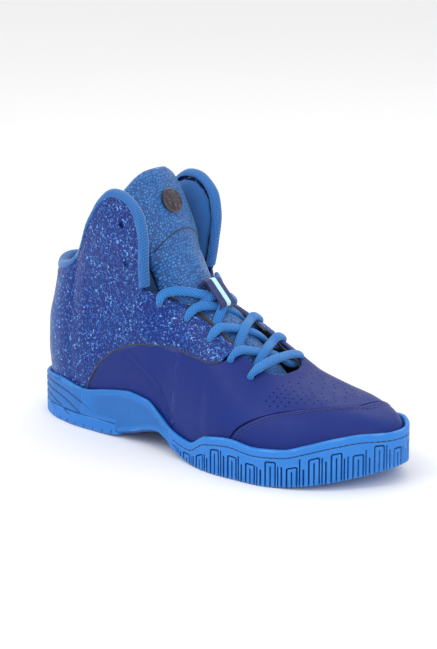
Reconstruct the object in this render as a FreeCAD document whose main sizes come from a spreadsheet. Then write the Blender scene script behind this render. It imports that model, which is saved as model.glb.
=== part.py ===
"""A right-foot basketball high top, as separate shoe components.

Millimetres.  +X runs from the heel to the toe, +Y to the medial side and +Z up.
The origin is on the ground under the middle of the outsole's length and width.
Inside this file the shoe is drawn from its heel (x = 0 at the back of the heel)
and every sub-part's Placement then moves it to that origin.
"""
import FreeCAD, Part
import Sketcher
import math
import os

from FreeCAD import Vector

LATERAL, MEDIAL = -1, 1
SIDE_NAMES = {LATERAL: "lateral", MEDIAL: "medial"}

doc = FreeCAD.newDocument("HighTop")

# ---------------------------------------------------------------- driving dimensions
SIZES = {
    "sole_length": 302.0,        # heel to toe of the outsole
    "sole_half_width": 57.0,     # widest half of the forefoot
    "sole_wall": 3.3,            # thickness of the cupsole's side wall
    "upper_gap": 3.6,            # outline of the sole to the upper's outer face
    "panel_thickness": 1.7,      # outer panels of the upper
    "lining_depth": 3.3,         # outer face of the upper to its lining
    "vamp_lining_thickness": 1.0,
    "collar_pad": 6.0,           # foam of the ankle collar
    "counter_thickness": 1.2,
    "board_thickness": 1.5,
    "sockliner_thickness": 4.0,
    "heel_pod_height": 10.0,
    "heel_cup_thickness": 2.4,
    "shank_thickness": 2.0,
    "toe_spring": 12.0,
    "block_height": 70.0,        # tall enough for every cut of the sole
    "tread_depth": 2.2,
    "tread_width": 2.4,
    "tread_pitch": 9.0,
    "tread_margin": 9.0,
    "tongue_thickness": 9.0,
    "tongue_pad": 13.0,
    "fold_depth": 8.0,           # the upper tongue's fold line, inside the seam
    "eyelet_radius": 2.6,
    "lace_radius": 1.9,
    "aglet_length": 22.0,
    "aglet_radius": 2.0,
    "keeper_width": 15.0,
    "keeper_length": 24.0,
    "keeper_thickness": 1.2,
    "emblem_radius": 9.0,
    "emblem_thickness": 1.4,
    "keeper_rise": 9.4,
    "keeper_foot": 2.6,
    "stripe_width": 4.0,
    "stripe_thickness": 0.4,
}

sheet = doc.addObject("Spreadsheet::Sheet", "Sizes")
for row, (alias, value) in enumerate(SIZES.items(), start=1):
    sheet.set(f"A{row}", alias)
    sheet.set(f"B{row}", str(value))
    sheet.setAlias(f"B{row}", alias)
doc.recompute()


def size(alias):
    """A driving dimension, read back from the sheet."""
    return float(sheet.get(alias))


HALF_LENGTH = size("sole_length") / 2
TO_ORIGIN = FreeCAD.Placement(Vector(-HALF_LENGTH, 0, 0), FreeCAD.Rotation())
SUBPARTS = []


def subpart(obj, label):
    """Name a finished document object as a node of the shoe and place it."""
    obj.Label = label
    obj.Placement = TO_ORIGIN
    SUBPARTS.append(obj)
    return obj


def shell_part(shape, label):
    """A sub-part whose curved shape is made with Part's own functions."""
    obj = doc.addObject("Part::Feature", label)
    obj.Shape = shape
    return subpart(obj, label)


# ---------------------------------------------------------------- smooth tables
def curve(table, at):
    """Monotone cubic through (at, value) pairs, flat beyond both ends."""
    if at <= table[0][0]:
        return table[0][1]
    if at >= table[-1][0]:
        return table[-1][1]
    i = next(k for k in range(len(table) - 1) if at <= table[k + 1][0])
    slopes = [(b[1] - a[1]) / (b[0] - a[0]) for a, b in zip(table, table[1:])]

    def tangent(k):
        if k == 0 or k == len(table) - 1:
            return slopes[0] if k == 0 else slopes[-1]
        before, after = slopes[k - 1], slopes[k]
        return 0.0 if before * after <= 0 else 2 * before * after / (before + after)

    (x0, y0), (x1, y1) = table[i], table[i + 1]
    span = x1 - x0
    f = (at - x0) / span
    return ((1 + 2 * f) * (1 - f) ** 2 * y0 + f * (1 - f) ** 2 * span * tangent(i)
            + f * f * (3 - 2 * f) * y1 + f * f * (f - 1) * span * tangent(i + 1))


def blend(a, b, f):
    return a + (b - a) * f


def smooth_step(f):
    f = min(1.0, max(0.0, f))
    return f * f * (3 - 2 * f)


# ---------------------------------------------------------------- plan and side lines of the sole
OUTLINE = {
    LATERAL: [(0, 0), (1, 8), (3, 14), (12, 25.5), (30, 35), (55, 40), (90, 41), (125, 43),
              (160, 50), (195, 57), (225, 56), (250, 49), (272, 35), (290, 15), (297, 4),
              (300.8, -5), (302, -14)],
    MEDIAL: [(0, 0), (1, 8), (3, 14.5), (12, 26.5), (30, 36.5), (55, 41.5), (90, 40), (125, 36),
             (155, 39), (190, 49), (225, 57), (255, 54.5), (276, 46), (290, 35.5), (297, 28),
             (300.8, 21), (302, 14)],
}
SOLE_TOP = [(0, 29), (32, 33), (60, 30), (82, 34), (104, 37), (121, 35), (135, 27), (150, 19),
            (168, 16), (186, 25), (208, 28), (227, 26), (248, 27), (262, 31), (278, 36),
            (290, 38), (302, 37)]
ARCH = [(76, 0), (90, 2), (104, 5), (120, 10), (132, 12), (147, 7), (165, 1.5), (172, 0)]
CENTRE_LINE = [(150, 0), (200, 3), (240, 8), (270, 11.5), (302, 14)]
TOE_SPRING_START = 232.0
FOOTBED = [(0, 17), (60, 17), (120, 17.2), (145, 14.8), (170, 11.5), (232, 11)]


def toe_lift(x):
    run = size("sole_length") - TOE_SPRING_START
    return size("toe_spring") * (max(0.0, x - TOE_SPRING_START) / run) ** 1.8


def footbed(x):
    """Height of the floor inside the cupsole."""
    return curve(FOOTBED, x) + toe_lift(x)


def outline_point(side, x, inset):
    """A point of the sole's outline at x, drawn in from the edge by inset."""
    length = size("sole_length")
    shrink = (length - 2 * inset) / length
    original = (x - inset) / shrink
    narrow = 1 - inset / size("sole_half_width") * 1.1
    middle = curve(CENTRE_LINE, original)
    edge = side * curve(OUTLINE[side], original)
    return middle + (edge - middle) * narrow


def closed_outline(inset, start=0.0, end=None):
    """Points of both sides of the outline between two stations: lateral forwards, medial back."""
    stations = [0, 1, 3, 7, 12, 20, 30, 42, 55, 72, 90, 108, 125, 142, 160, 178, 195, 210, 225,
                238, 250, 261, 272, 282, 290, 296, 300, 301.5, 302]
    length = size("sole_length")
    shrink = (length - 2 * inset) / length
    xs = [inset + x * shrink for x in stations]
    first = max(start, inset)
    last = min(length if end is None else end, length - inset)
    xs = [first] + [x for x in xs if first + 0.5 < x < last - 0.4] + [last]
    near = [Vector(x, outline_point(LATERAL, x, inset), 0) for x in xs]
    far = [Vector(x, outline_point(MEDIAL, x, inset), 0) for x in reversed(xs)]
    return near, far


# ---------------------------------------------------------------- sole blocks from sketches
def add_spline(sketch, points):
    spline = Part.BSplineCurve()
    spline.interpolate(points)
    return sketch.addGeometry(spline, False)


def plan_sketch(name, inset, start=0.0, end=None):
    """The outline between two stations, closed by straight lines at its cut ends."""
    near, far = closed_outline(inset, start, end)
    sketch = doc.addObject("Sketcher::SketchObject", name)
    add_spline(sketch, near)
    if (near[-1] - far[0]).Length > 0.01:
        sketch.addGeometry(Part.LineSegment(near[-1], far[0]), False)
    add_spline(sketch, far)
    if (far[-1] - near[0]).Length > 0.01:
        sketch.addGeometry(Part.LineSegment(far[-1], near[0]), False)
    return sketch


def side_sketch(name, low, high):
    """A closed side profile between a lower and an upper line of (x, z) points."""
    lower = [Vector(x, z, 0) for x, z in low]
    upper = [Vector(x, z, 0) for x, z in high]
    sketch = doc.addObject("Sketcher::SketchObject", name)
    add_spline(sketch, lower)
    sketch.addGeometry(Part.LineSegment(lower[-1], upper[-1]), False)
    add_spline(sketch, list(reversed(upper)))
    sketch.addGeometry(Part.LineSegment(upper[0], lower[0]), False)
    sketch.Placement = FreeCAD.Placement(Vector(0, 0, 0), FreeCAD.Rotation(Vector(1, 0, 0), 90))
    return sketch


def extrude(name, sketch, direction, alias, symmetric):
    solid = doc.addObject("Part::Extrusion", name)
    solid.Base = sketch
    solid.DirMode = "Custom"
    solid.Dir = direction
    solid.setExpression("LengthFwd", f"{sheet.Name}.{alias}")
    solid.Symmetric = symmetric
    solid.Solid = True
    return solid


def common(name, first, second):
    obj = doc.addObject("Part::MultiCommon", name)
    obj.Shapes = [first, second]
    return obj


def cut(name, base, tool):
    obj = doc.addObject("Part::Cut", name)
    obj.Base = base
    obj.Tool = tool
    return obj


def fuse(name, shapes):
    obj = doc.addObject("Part::MultiFuse", name)
    obj.Shapes = shapes
    return obj


def sole_block(name, inset, low, high, start=0.0, end=None):
    """What the plan outline and a side profile have in common."""
    plan = extrude(f"{name}_plan", plan_sketch(f"{name}_outline", inset, start, end),
                   Vector(0, 0, 1), "block_height", False)
    side = extrude(f"{name}_side", side_sketch(f"{name}_profile", low, high),
                   Vector(0, 1, 0), "sole_length", True)
    return common(name, plan, side)


def line(height, start, end, step=8.0):
    """Points of a height function between two stations."""
    count = max(2, round((end - start) / step))
    return [(blend(start, end, i / count), height(blend(start, end, i / count)))
            for i in range(count + 1)]


def sole_bottom(x):
    heel_bevel = 3 * (max(0.0, 14 - x) / 14) ** 2
    return curve(ARCH, x) + toe_lift(x) + heel_bevel


def sole_top(x):
    return curve(SOLE_TOP, x)


BEYOND = 6.0                      # side profiles run past the outline by this much
LENGTH = size("sole_length")
FOREFOOT_START = 147.0
HEEL_POD_END = 92.0
pod_height = size("heel_pod_height")

cavity = sole_block("cup_cavity", size("sole_wall"), line(footbed, -BEYOND, LENGTH + BEYOND),
                    [(-BEYOND, 62), (LENGTH / 2, 62), (LENGTH + BEYOND, 62)])

forefoot_block = sole_block("forefoot_block", 0.0,
                            line(sole_bottom, FOREFOOT_START - BEYOND, LENGTH + BEYOND),
                            line(sole_top, FOREFOOT_START - BEYOND, LENGTH + BEYOND),
                            start=FOREFOOT_START)
WELL_DEPTH = 4.0                  # the midsole's forefoot layer inside the rubber cup
well = sole_block("forefoot_well", size("sole_wall"),
                  line(lambda x: footbed(x) - WELL_DEPTH, FOREFOOT_START - 12, LENGTH + BEYOND),
                  [(FOREFOOT_START - 12, 62), (LENGTH / 2 + 60, 62), (LENGTH + BEYOND, 62)],
                  start=FOREFOOT_START - 10)
forefoot_cup = cut("forefoot_cup", forefoot_block, well)


def tread_bars(name, start, end):
    """Straight grooves across the ground face, one box per groove."""
    boxes = []
    count = int((end - start) / size("tread_pitch"))
    for i in range(count):
        box = doc.addObject("Part::Box", f"{name}_{i}")
        box.setExpression("Length", f"{sheet.Name}.tread_width")
        box.setExpression("Width", f"{sheet.Name}.sole_half_width * 2")
        box.setExpression("Height", f"{sheet.Name}.tread_depth")
        x = start + i * size("tread_pitch")
        lift = toe_lift(x)
        tilt = -math.degrees(math.atan2(toe_lift(x + 4) - lift, 4))
        box.Placement = FreeCAD.Placement(Vector(x, -size("sole_half_width"), lift - 0.02),
                                          FreeCAD.Rotation(Vector(0, 1, 0), tilt))
        boxes.append(box)
    bars = fuse(name, boxes)
    inner = extrude(f"{name}_inner",
                    plan_sketch(f"{name}_inner_outline", size("tread_margin"), start - 2, end + 4),
                    Vector(0, 0, 1), "block_height", False)
    return common(f"{name}_grooves", bars, inner)


subpart(cut("outsole_forefoot", forefoot_cup, tread_bars("forefoot_tread", 168.0, 286.0)),
        "outsole_forefoot")


heel_pod = sole_block("heel_pod", 0.0, line(sole_bottom, -BEYOND, HEEL_POD_END),
                      line(lambda x: pod_height, -BEYOND, HEEL_POD_END), end=HEEL_POD_END)
subpart(cut("outsole_heel", heel_pod, tread_bars("heel_tread", 14.0, 68.0)), "outsole_heel")

shank_thickness = size("shank_thickness")
SHANK_END = FOREFOOT_START - 0.2
shank = sole_block("shank", 6.0, line(sole_bottom, HEEL_POD_END + 0.2, SHANK_END),
                   line(lambda x: sole_bottom(x) + shank_thickness, HEEL_POD_END + 0.2, SHANK_END),
                   start=70.0, end=160.0)
subpart(shank, "shank_plate")

HEEL_CUP_END = 58.0
HEEL_CUP_FOOT = 1.0               # the cup starts this far above the heel pod
HEEL_CUP_BELOW_TOP = 2.0


def heel_band(name, outer_inset, inner_inset, grow):
    """A band round the heel between two insets of the outline."""
    block = sole_block(f"{name}_block", outer_inset,
                       line(lambda x: pod_height + HEEL_CUP_FOOT - grow, -BEYOND, HEEL_CUP_END),
                       line(lambda x: sole_top(x) - HEEL_CUP_BELOW_TOP + grow, -BEYOND,
                            HEEL_CUP_END), end=HEEL_CUP_END + grow)
    core = extrude(f"{name}_core", plan_sketch(f"{name}_core_outline", inner_inset),
                   Vector(0, 0, 1), "block_height", False)
    return cut(f"{name}_band", block, core)


subpart(heel_band("heel_cup", 0.0, size("heel_cup_thickness"), 0.0), "heel_cup")
heel_cup_space = heel_band("heel_cup_space", -2.0, size("heel_cup_thickness") + 0.1, 0.1)

REAR_END = FOREFOOT_START - 0.1
over_pod = sole_block("midsole_over_pod", 0.0,
                      line(lambda x: pod_height + 0.1, -BEYOND, HEEL_POD_END + BEYOND),
                      line(sole_top, -BEYOND, HEEL_POD_END + BEYOND), end=HEEL_POD_END + BEYOND)
over_shank = sole_block("midsole_over_shank", 0.0,
                        line(lambda x: sole_bottom(x) + shank_thickness + 0.25,
                             HEEL_POD_END + 0.2, REAR_END),
                        line(sole_top, HEEL_POD_END + 0.2, REAR_END),
                        start=HEEL_POD_END + 0.2, end=REAR_END)
front = sole_block("midsole_front", size("sole_wall") + 0.15,
                   line(lambda x: footbed(x) - WELL_DEPTH + 0.1, FOREFOOT_START - 6,
                        LENGTH + BEYOND),
                   line(lambda x: footbed(x) + 4, FOREFOOT_START - 6, LENGTH + BEYOND),
                   start=FOREFOOT_START - 4)
midsole_solid = cut("midsole_bed", fuse("midsole_block", [over_pod, over_shank, front]), cavity)
subpart(cut("midsole_clear", midsole_solid, heel_cup_space), "midsole")

# ---------------------------------------------------------------- the last: shape of the upper
INSET = size("upper_gap")
RIDGE = [(112, 117), (125, 113), (140, 105), (152, 99.5), (168, 92), (190, 78.5), (205, 68.5),
         (216, 61.5), (231, 56.5), (247, 53), (262, 50.5), (275, 47.5), (285, 44.5), (292, 40.5),
         (296, 35), (298.4, 27)]
TOE_TIP = 298.4
ROUNDNESS = 2.2                    # exponent of a section's height
WALL_STATIONS = [45, 60, 90, 116, 122]
WALL_HALF_WIDTH = [
    [(15, 34.5), (30, 35), (50, 35.5), (75, 34), (100, 30.5), (130, 27), (160, 28), (182, 30)],
    [(15, 36), (30, 37), (50, 38), (75, 37), (100, 35.5), (130, 35), (160, 38), (182, 40)],
    [(15, 37), (30, 38), (50, 39), (75, 37.5), (100, 37), (130, 40), (160, 42.5), (182, 43.5)],
    [(15, 38.5), (30, 39.5), (50, 40), (75, 38), (100, 37), (130, 41), (160, 43), (182, 44)],
    [(15, 39), (30, 40), (50, 40.5), (75, 38), (100, 35.5), (130, 40.5), (160, 43), (182, 44)],
]
HEEL_BACK = [(12, 4.2), (30, 4.0), (50, 1.8), (70, 2.2), (88, 6.5), (100, 9.0), (114, 11.5)]
HEEL_CENTRE = 45.0                 # the heel turns round an upright axis here
HEEL_TURN = 65.0                   # girth from that axis's side to the back of the heel
HEEL_SHAPE = 1.85


def boxiness(x):
    """Exponent of a section's width: boxier towards the ankle."""
    return curve([(116, 5.0), (150, 3.7), (180, 3.3)], x)


def dome_width(side, x):
    """Half width of the upper at its foot, from the shoe's centre line."""
    return abs(outline_point(side, x, INSET) - curve(CENTRE_LINE, x))


def dome(side, x, a, depth=0.0):
    """A point over the foot: a is 0 on the ridge and 1 at the sole."""
    x = min(x, TOE_TIP)
    nose = smooth_step((x - 262) / 40)
    x_in = x - depth * nose
    foot = footbed(x) + 0.4
    angle = a * math.pi / 2
    even_width = (dome_width(LATERAL, x) + dome_width(MEDIAL, x)) / 2
    width = blend(even_width, dome_width(side, x), a) - depth * (1 - 0.5 * nose)
    width = max(0.0, width)
    rise = max(0.0, curve(RIDGE, x) - depth - foot)
    y = curve(CENTRE_LINE, x) + side * width * math.sin(angle) ** (2 / boxiness(x))
    return Vector(x_in, y, foot + rise * max(0.0, math.cos(angle)) ** (2 / ROUNDNESS))


def across(x, height):
    """The dome's a at a height."""
    foot = footbed(x) + 0.4
    f = min(1.0, max(0.0, (height - foot) / (curve(RIDGE, x) - foot)))
    return math.acos(f ** (ROUNDNESS / 2)) / (math.pi / 2)


def wall_width(side, x, z):
    """Half width of the ankle's wall at a station and a height."""
    widths = [curve(column, z) for column in WALL_HALF_WIDTH]
    width = curve(list(zip(WALL_STATIONS, widths)), x)
    if side == MEDIAL:
        ratio = curve(OUTLINE[MEDIAL], x) / curve(OUTLINE[LATERAL], x)
        width *= blend(ratio, 1.0, smooth_step((z - 20) / 60))
    inside_cup = abs(outline_point(side, x, INSET))
    free = smooth_step((z - sole_top(x)) / 18)
    return blend(min(width, inside_cup), width, free)


def wall(side, girth, z, depth=0.0):
    """A point of the side wall: girth is x forward of the heel's axis, and runs round behind it."""
    z = max(z, footbed(max(0.0, girth)) + 0.4)
    if girth < HEEL_CENTRE:
        turn = math.pi / 2 * (girth - HEEL_CENTRE + HEEL_TURN) / HEEL_TURN
        back = HEEL_CENTRE - curve(HEEL_BACK, z) - depth
        half = wall_width(side, HEEL_CENTRE, z) - depth
        reach = ((math.cos(turn) / back) ** HEEL_SHAPE
                 + (math.sin(turn) / half) ** HEEL_SHAPE) ** (-1 / HEEL_SHAPE)
        return Vector(HEEL_CENTRE - reach * math.cos(turn), side * reach * math.sin(turn), z)
    upright = Vector(girth, side * (wall_width(side, girth, z) - depth), z)
    share = smooth_step((girth - 112) / 28)
    if share == 0 or z > 113:
        return upright
    leaning = dome(side, girth, across(girth, min(z + depth * 0.6, curve(RIDGE, girth))), depth)
    return Vector(girth, blend(upright.y, leaning.y, share), z)


# ---------------------------------------------------------------- curved solids from rows of poles
def knots(count, degree):
    inner = count - degree - 1
    values = [0.0] + [(i + 1) / (inner + 1) for i in range(inner)] + [1.0]
    return values, [degree + 1] + [1] * inner + [degree + 1]


def pole_face(rows):
    """A face whose B-spline poles are the rows of points."""
    across_degree = min(3, len(rows) - 1)
    along_degree = min(3, len(rows[0]) - 1)
    u_knots, u_mults = knots(len(rows), across_degree)
    v_knots, v_mults = knots(len(rows[0]), along_degree)
    surface = Part.BSplineSurface()
    surface.buildFromPolesMultsKnots(rows, u_mults, v_mults, u_knots, v_knots, False, False,
                                     across_degree, along_degree)
    return surface.toShape()


def skin(outer, inner):
    """A closed solid between two grids of points of the same size."""
    faces = [pole_face(outer), pole_face(inner),
             pole_face([outer[0], inner[0]]), pole_face([outer[-1], inner[-1]]),
             pole_face([[row[0] for row in outer], [row[0] for row in inner]]),
             pole_face([[row[-1] for row in outer], [row[-1] for row in inner]])]
    shell = Part.makeCompound(faces)
    shell.sewShape()
    solid = Part.makeSolid(shell.Shells[0])
    if solid.Volume < 0:
        solid.reverse()
    return solid


def fill(columns, rows, place, steps=3):
    """Rows of points between the two ends of each column, with steps between columns."""
    fine = []
    for first, second in zip(columns, columns[1:]):
        fine += [[blend(p, q, i / steps) for p, q in zip(first, second)] for i in range(steps)]
    fine.append(list(columns[-1]))
    grid = []
    for r in range(rows + 1):
        f = r / rows
        grid.append([place(blend(c[0], c[2], f), blend(c[1], c[3], f)) for c in fine])
    return grid


def wall_panel(side, columns, near, far, rows=6):
    """A panel of the side wall between two depths; columns hold (girth, z) low and high."""
    return skin(fill(columns, rows, lambda g, z: wall(side, g, z, near)),
                fill(columns, rows, lambda g, z: wall(side, g, z, far)))


def nose_space(x):
    """Stations of the toe, spread so that even steps follow its round front."""
    return -math.sqrt(max(0.0, TOE_TIP - x))


def over_dome(columns_for, near, far, rows=6):
    """A panel over both halves of the dome; columns hold (x, a) inner and outer."""
    def place(depth):
        def point(space, signed):
            side = LATERAL if signed < 0 else MEDIAL
            return dome(side, TOE_TIP - space * space, abs(signed), depth)
        return point
    columns = []
    for x_in, a_in, x_out, a_out in columns_for:
        columns.append((nose_space(x_in), a_in, nose_space(x_out), a_out))
    return skin(fill(columns, rows, place(near)), fill(columns, rows, place(far)))


# ---------------------------------------------------------------- upper panels
PANEL = size("panel_thickness")
SEAM = 0.4                          # gap left along a stitched seam

QUARTER = [(-8, 17.5, -8, 109), (6, 17.5, 7, 110.5), (20, 17.2, 21, 113.5), (34, 17, 35, 117),
           (45, 17, 46, 124), (54, 16.8, 56, 136), (60, 17, 65, 151), (63.5, 34, 72, 160),
           (70, 45, 80, 170), (83, 59, 92, 178.5), (93, 66, 104, 177.5), (102, 70, 114, 169),
           (108, 72, 119, 154), (113, 73.5, 118, 130), (117, 74, 116.5, 113),
           (119, 74.3, 118.5, 111.5), (126, 74.8, 126, 107.5), (138, 75, 138, 102),
           (150, 74.6, 150, 96.5), (160, 73.2, 161, 91.5), (170, 71.8, 171, 86.5),
           (178, 71.3, 179, 82.2), (182.5, 73, 185, 78.8)]
SIDE_PANEL = [(60.8, 17.2, 62, 27), (64.5, 17, 64.5, 34), (71, 16.7, 71, 44.6 - SEAM),
              (84, 16, 84, 59 - SEAM), (98, 15.2, 98, 68.2 - SEAM), (110, 14.5, 110, 72.5 - SEAM),
              (122, 14, 122, 74.5 - SEAM), (135, 13.3, 135, 75 - SEAM),
              (147.6, 13, 147.6, 74.7 - SEAM)]

EYELETS = [(204, 65), (187.5, 74.5), (168, 84), (146, 94), (126, 103)]
HIGH_EYELETS = [(104, 130), (102, 158)]


def eyelet_frame(side, x, z):
    """Centre of an eyelet on the upper's face and the way out of it."""
    here = wall(side, x, z)
    along = wall(side, x + 1, z) - here
    up = wall(side, x, z + 1) - here
    normal = along.cross(up)
    normal.normalize()
    if normal.y * side < 0:
        normal = normal * -1
    return here, normal


def punch(shape, side, eyelets):
    """Eyelet holes through a panel."""
    for x, z in eyelets:
        here, normal = eyelet_frame(side, x, z)
        shape = shape.cut(Part.makeCylinder(size("eyelet_radius"), 16, here - normal * 8, normal))
    return shape


def below(x, z):
    """The dome's a just under the quarter's lower seam."""
    return across(x, z - SEAM)


# Columns over the dome hold (x, a) at the throat and at the sole or the toe cap's seam.
VAMP_REAR = [(148, below(148, 74.6), 148, 1.0), (158, below(158, 73.6), 158, 1.0),
             (169, below(169, 71.8), 170, 1.0), (178, below(178, 71.3), 182, 1.0),
             (184, below(184, 73.5), 192, 1.0)]
VAMP_LATERAL = [(187, 0.17, 199, 1.0), (194, 0.16, 207.5, 0.765), (201, 0.155, 222.4, 0.55),
                (207, 0.13, 239.4, 0.365), (211.5, 0.08, 256, 0.20), (213.5, 0.03, 266.5, 0.06)]
VAMP_MEDIAL = [(187, 0.17, 210, 1.0), (194, 0.16, 229.7, 0.765), (201, 0.155, 246.6, 0.615),
               (207, 0.13, 261.6, 0.465), (211.5, 0.08, 270.4, 0.30), (213.5, 0.03, 271.3, 0.12)]
VAMP_RIDGE = (214, 0.0, 269.9, 0.0)
TOE_LATERAL = [(200.6, 0.985, 203.5, 1.0), (209.3, 0.765, 222, 1.0), (224.3, 0.55, 242, 1.0),
               (241.3, 0.365, 262, 1.0), (257.3, 0.205, 280, 1.0), (265.5, 0.09, 292, 1.0),
               (269.4, 0.03, 297, 0.9)]
TOE_MEDIAL = [(211.6, 0.985, 214, 1.0), (218.5, 0.925, 223, 1.0), (231.3, 0.765, 240, 1.0),
              (248.3, 0.615, 260, 1.0), (263.3, 0.465, 278, 1.0), (272.3, 0.30, 291, 1.0),
              (273.2, 0.12, 297, 0.9)]
TOE_RIDGE = (271.7, 0.0, TOE_TIP, 0.0)


def round_the_front(lateral, ridge, medial):
    """Columns from the lateral end over the ridge to the medial end."""
    return ([(x0, -a0, x1, -a1) for x0, a0, x1, a1 in lateral] + [ridge]
            + list(reversed(medial)))


VAMP = round_the_front(VAMP_REAR + VAMP_LATERAL, VAMP_RIDGE, VAMP_REAR + VAMP_MEDIAL)
TOE_CAP = round_the_front(TOE_LATERAL, TOE_RIDGE, TOE_MEDIAL)
lining = size("lining_depth")
vamp_inside = lining + size("vamp_lining_thickness")

vamp = over_dome(VAMP, 0.0, PANEL)
for side in (LATERAL, MEDIAL):
    vamp = punch(vamp, side, EYELETS[:2])
shell_part(vamp, "vamp")
shell_part(over_dome(TOE_CAP, 0.0, PANEL), "toe_cap")
shell_part(over_dome(TOE_CAP, PANEL + 0.15, lining - 0.2), "toe_puff")
vamp_lining = over_dome(VAMP, lining, vamp_inside)
for side in (LATERAL, MEDIAL):
    vamp_lining = punch(vamp_lining, side, EYELETS[:2])
shell_part(vamp_lining, "vamp_lining")

for side, word in SIDE_NAMES.items():
    quarter = wall_panel(side, QUARTER, 0.0, PANEL)
    shell_part(punch(quarter, side, EYELETS[2:] + HIGH_EYELETS), f"quarter_{word}")
    shell_part(wall_panel(side, SIDE_PANEL, 0.0, PANEL), f"side_panel_{word}")


# ---------------------------------------------------------------- heel, collar and linings
COLLAR = [(-20, 113.5), (-8, 113), (7, 111.5), (21, 113.5), (35, 117), (46, 124), (56, 136),
          (65, 151), (72, 160), (80, 170), (92, 178.5), (104, 177.5), (114, 169), (118.6, 154),
          (117.6, 130), (116.3, 114)]
pad = size("collar_pad")
counter_near = PANEL + 0.35
counter_far = counter_near + size("counter_thickness")


def both_sides(columns):
    """Columns from the lateral front round the heel to the medial front, signed by side."""
    return ([(LATERAL,) + c for c in reversed(columns)]
            + [(MEDIAL,) + c for c in columns[1:]])


def round_heel(columns, layers, rows=6, steps=3):
    """A solid round the heel; columns hold (girth, z low, girth, z high), layers two depths."""
    signed = [(side, g0, z0, g1, z1) for side, g0, z0, g1, z1 in both_sides(columns)]
    grids = []
    for depth in layers:
        grid = []
        for r in range(rows + 1):
            row = []
            for first, second in zip(signed, signed[1:]):
                for i in range(steps):
                    f = i / steps
                    g, z = (blend(blend(first[1], second[1], f), blend(first[3], second[3], f),
                                  r / rows),
                            blend(blend(first[2], second[2], f), blend(first[4], second[4], f),
                                  r / rows))
                    row.append(wall(first[0] if first[0] == second[0] else second[0], g, z,
                                    depth(z, r / rows)))
            last = signed[-1]
            g, z = blend(last[1], last[3], r / rows), blend(last[2], last[4], r / rows)
            row.append(wall(last[0], g, z, depth(z, r / rows)))
            grid.append(row)
        grids.append(grid)
    return skin(*grids)


def constant(depth):
    return lambda z, f: depth


HEEL_CENTRE_GIRTH = HEEL_CENTRE - HEEL_TURN
BACKSTAY = [(HEEL_CENTRE_GIRTH, 17.5, HEEL_CENTRE_GIRTH, 88), (-14, 17.5, -14, 88),
            (-8.5, 17.5, -8.5, 87)]
shell_part(round_heel(BACKSTAY, (constant(-0.3), constant(PANEL))), "backstay")
HEEL_TAB = [(HEEL_CENTRE_GIRTH, 88.6, HEEL_CENTRE_GIRTH, 109), (-14, 88.6, -14, 109),
            (-8.5, 88.2, -8.5, 108.5)]
shell_part(round_heel(HEEL_TAB, (constant(-1.0), constant(PANEL))), "heel_tab")
COUNTER = [(HEEL_CENTRE_GIRTH, 18, HEEL_CENTRE_GIRTH, 59), (0, 18, 0, 59), (20, 18, 20, 56),
           (40, 17.6, 38, 48), (56, 17.4, 52, 36)]
shell_part(round_heel(COUNTER, (constant(counter_near), constant(counter_far))), "heel_counter")

LINING_LOW = 60.0
COLLAR_FOOT = [-20, -8, 6, 20, 34, 44, 52, 60, 68, 76, 85, 92, 98, 103, 107]
collar_columns = [(foot, LINING_LOW, g - 2.5 if g > 100 else g, z - 6)
                  for foot, (g, z) in zip(COLLAR_FOOT, COLLAR)]
shell_part(round_heel(collar_columns, (constant(lining + 0.1),
                                       lambda z, f: lining + pad * (1 - 0.45 * f * f)), rows=8),
           "collar_foam")
ABOVE_SOCKLINER = 23.8
heel_lining = [(g, ABOVE_SOCKLINER, g, LINING_LOW - 0.5)
               for g in (-20, -8, 6, 20, 34, 45, 60, 78, 96, 112)]
shell_part(round_heel(heel_lining, (constant(lining + 0.35), constant(lining + 1.4))), "heel_lining")

# (depth, lift) across the collar's edge
PIPING = [(-1.3, -3.6), (-1.8, 1.6), (2.0, 3.4), (6.4, 2.0), (7.4, -1.4)]
PIPING_CORE = [(-0.5, -3.6), (-0.7, 0.8), (2.0, 2.2), (5.4, 1.0), (6.4, -1.4)]


def piping(profile):
    """Rows of points that fold over the collar's edge."""
    rows = []
    path = [(side, g, z) for side, g, z in both_sides(COLLAR)]
    for depth, lift in profile:
        row = []
        for first, second in zip(path, path[1:]):
            for i in range(3):
                g = blend(first[1], second[1], i / 3)
                z = blend(first[2], second[2], i / 3)
                side = first[0] if first[0] == second[0] else second[0]
                forward = smooth_step((g - 104) / 12)
                row.append(wall(side, g + lift * forward, z + lift * (1 - 0.7 * forward), depth))
        row.append(wall(path[-1][0], path[-1][1] + lift, path[-1][2] + 0.3 * lift, depth))
        rows.append(row)
    return rows


shell_part(skin(piping(PIPING), piping(PIPING_CORE)), "collar_binding")

BACKING = [(120, 92, 120, 110.5), (126, 90, 126, 108.5), (138, 86, 138, 103), (150, 82, 150, 97.6),
           (161, 78, 161, 92.3), (171, 74, 171, 87), (179, 70, 179, 82.4)]
SIDE_LINING = [(113, 23.8, 113, 91), (122, 23.6, 122, 89), (135, 22.6, 135, 84),
               (147.4, 21.2, 147.4, 79)]
for side, word in SIDE_NAMES.items():
    backing = wall_panel(side, BACKING, PANEL + 0.15, PANEL + 1.1, rows=4)
    shell_part(punch(backing, side, EYELETS[2:]), f"eyestay_backing_{word}")
    shell_part(wall_panel(side, SIDE_LINING, lining, lining + 1.0, rows=4),
               f"side_lining_{word}")

# ---------------------------------------------------------------- boards under the foot
board_inset = INSET + vamp_inside + 1.4
board = size("board_thickness")
sock = size("sockliner_thickness")
FLOOR_START, FLOOR_END = board_inset - BEYOND, LENGTH - board_inset + BEYOND


def bed(name, inset, low, high):
    """A layer that follows the footbed between two heights above it."""
    return sole_block(name, inset,
                      line(lambda x: footbed(x) + low, FLOOR_START, FLOOR_END),
                      line(lambda x: footbed(x) + high, FLOOR_START, FLOOR_END))


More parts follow.
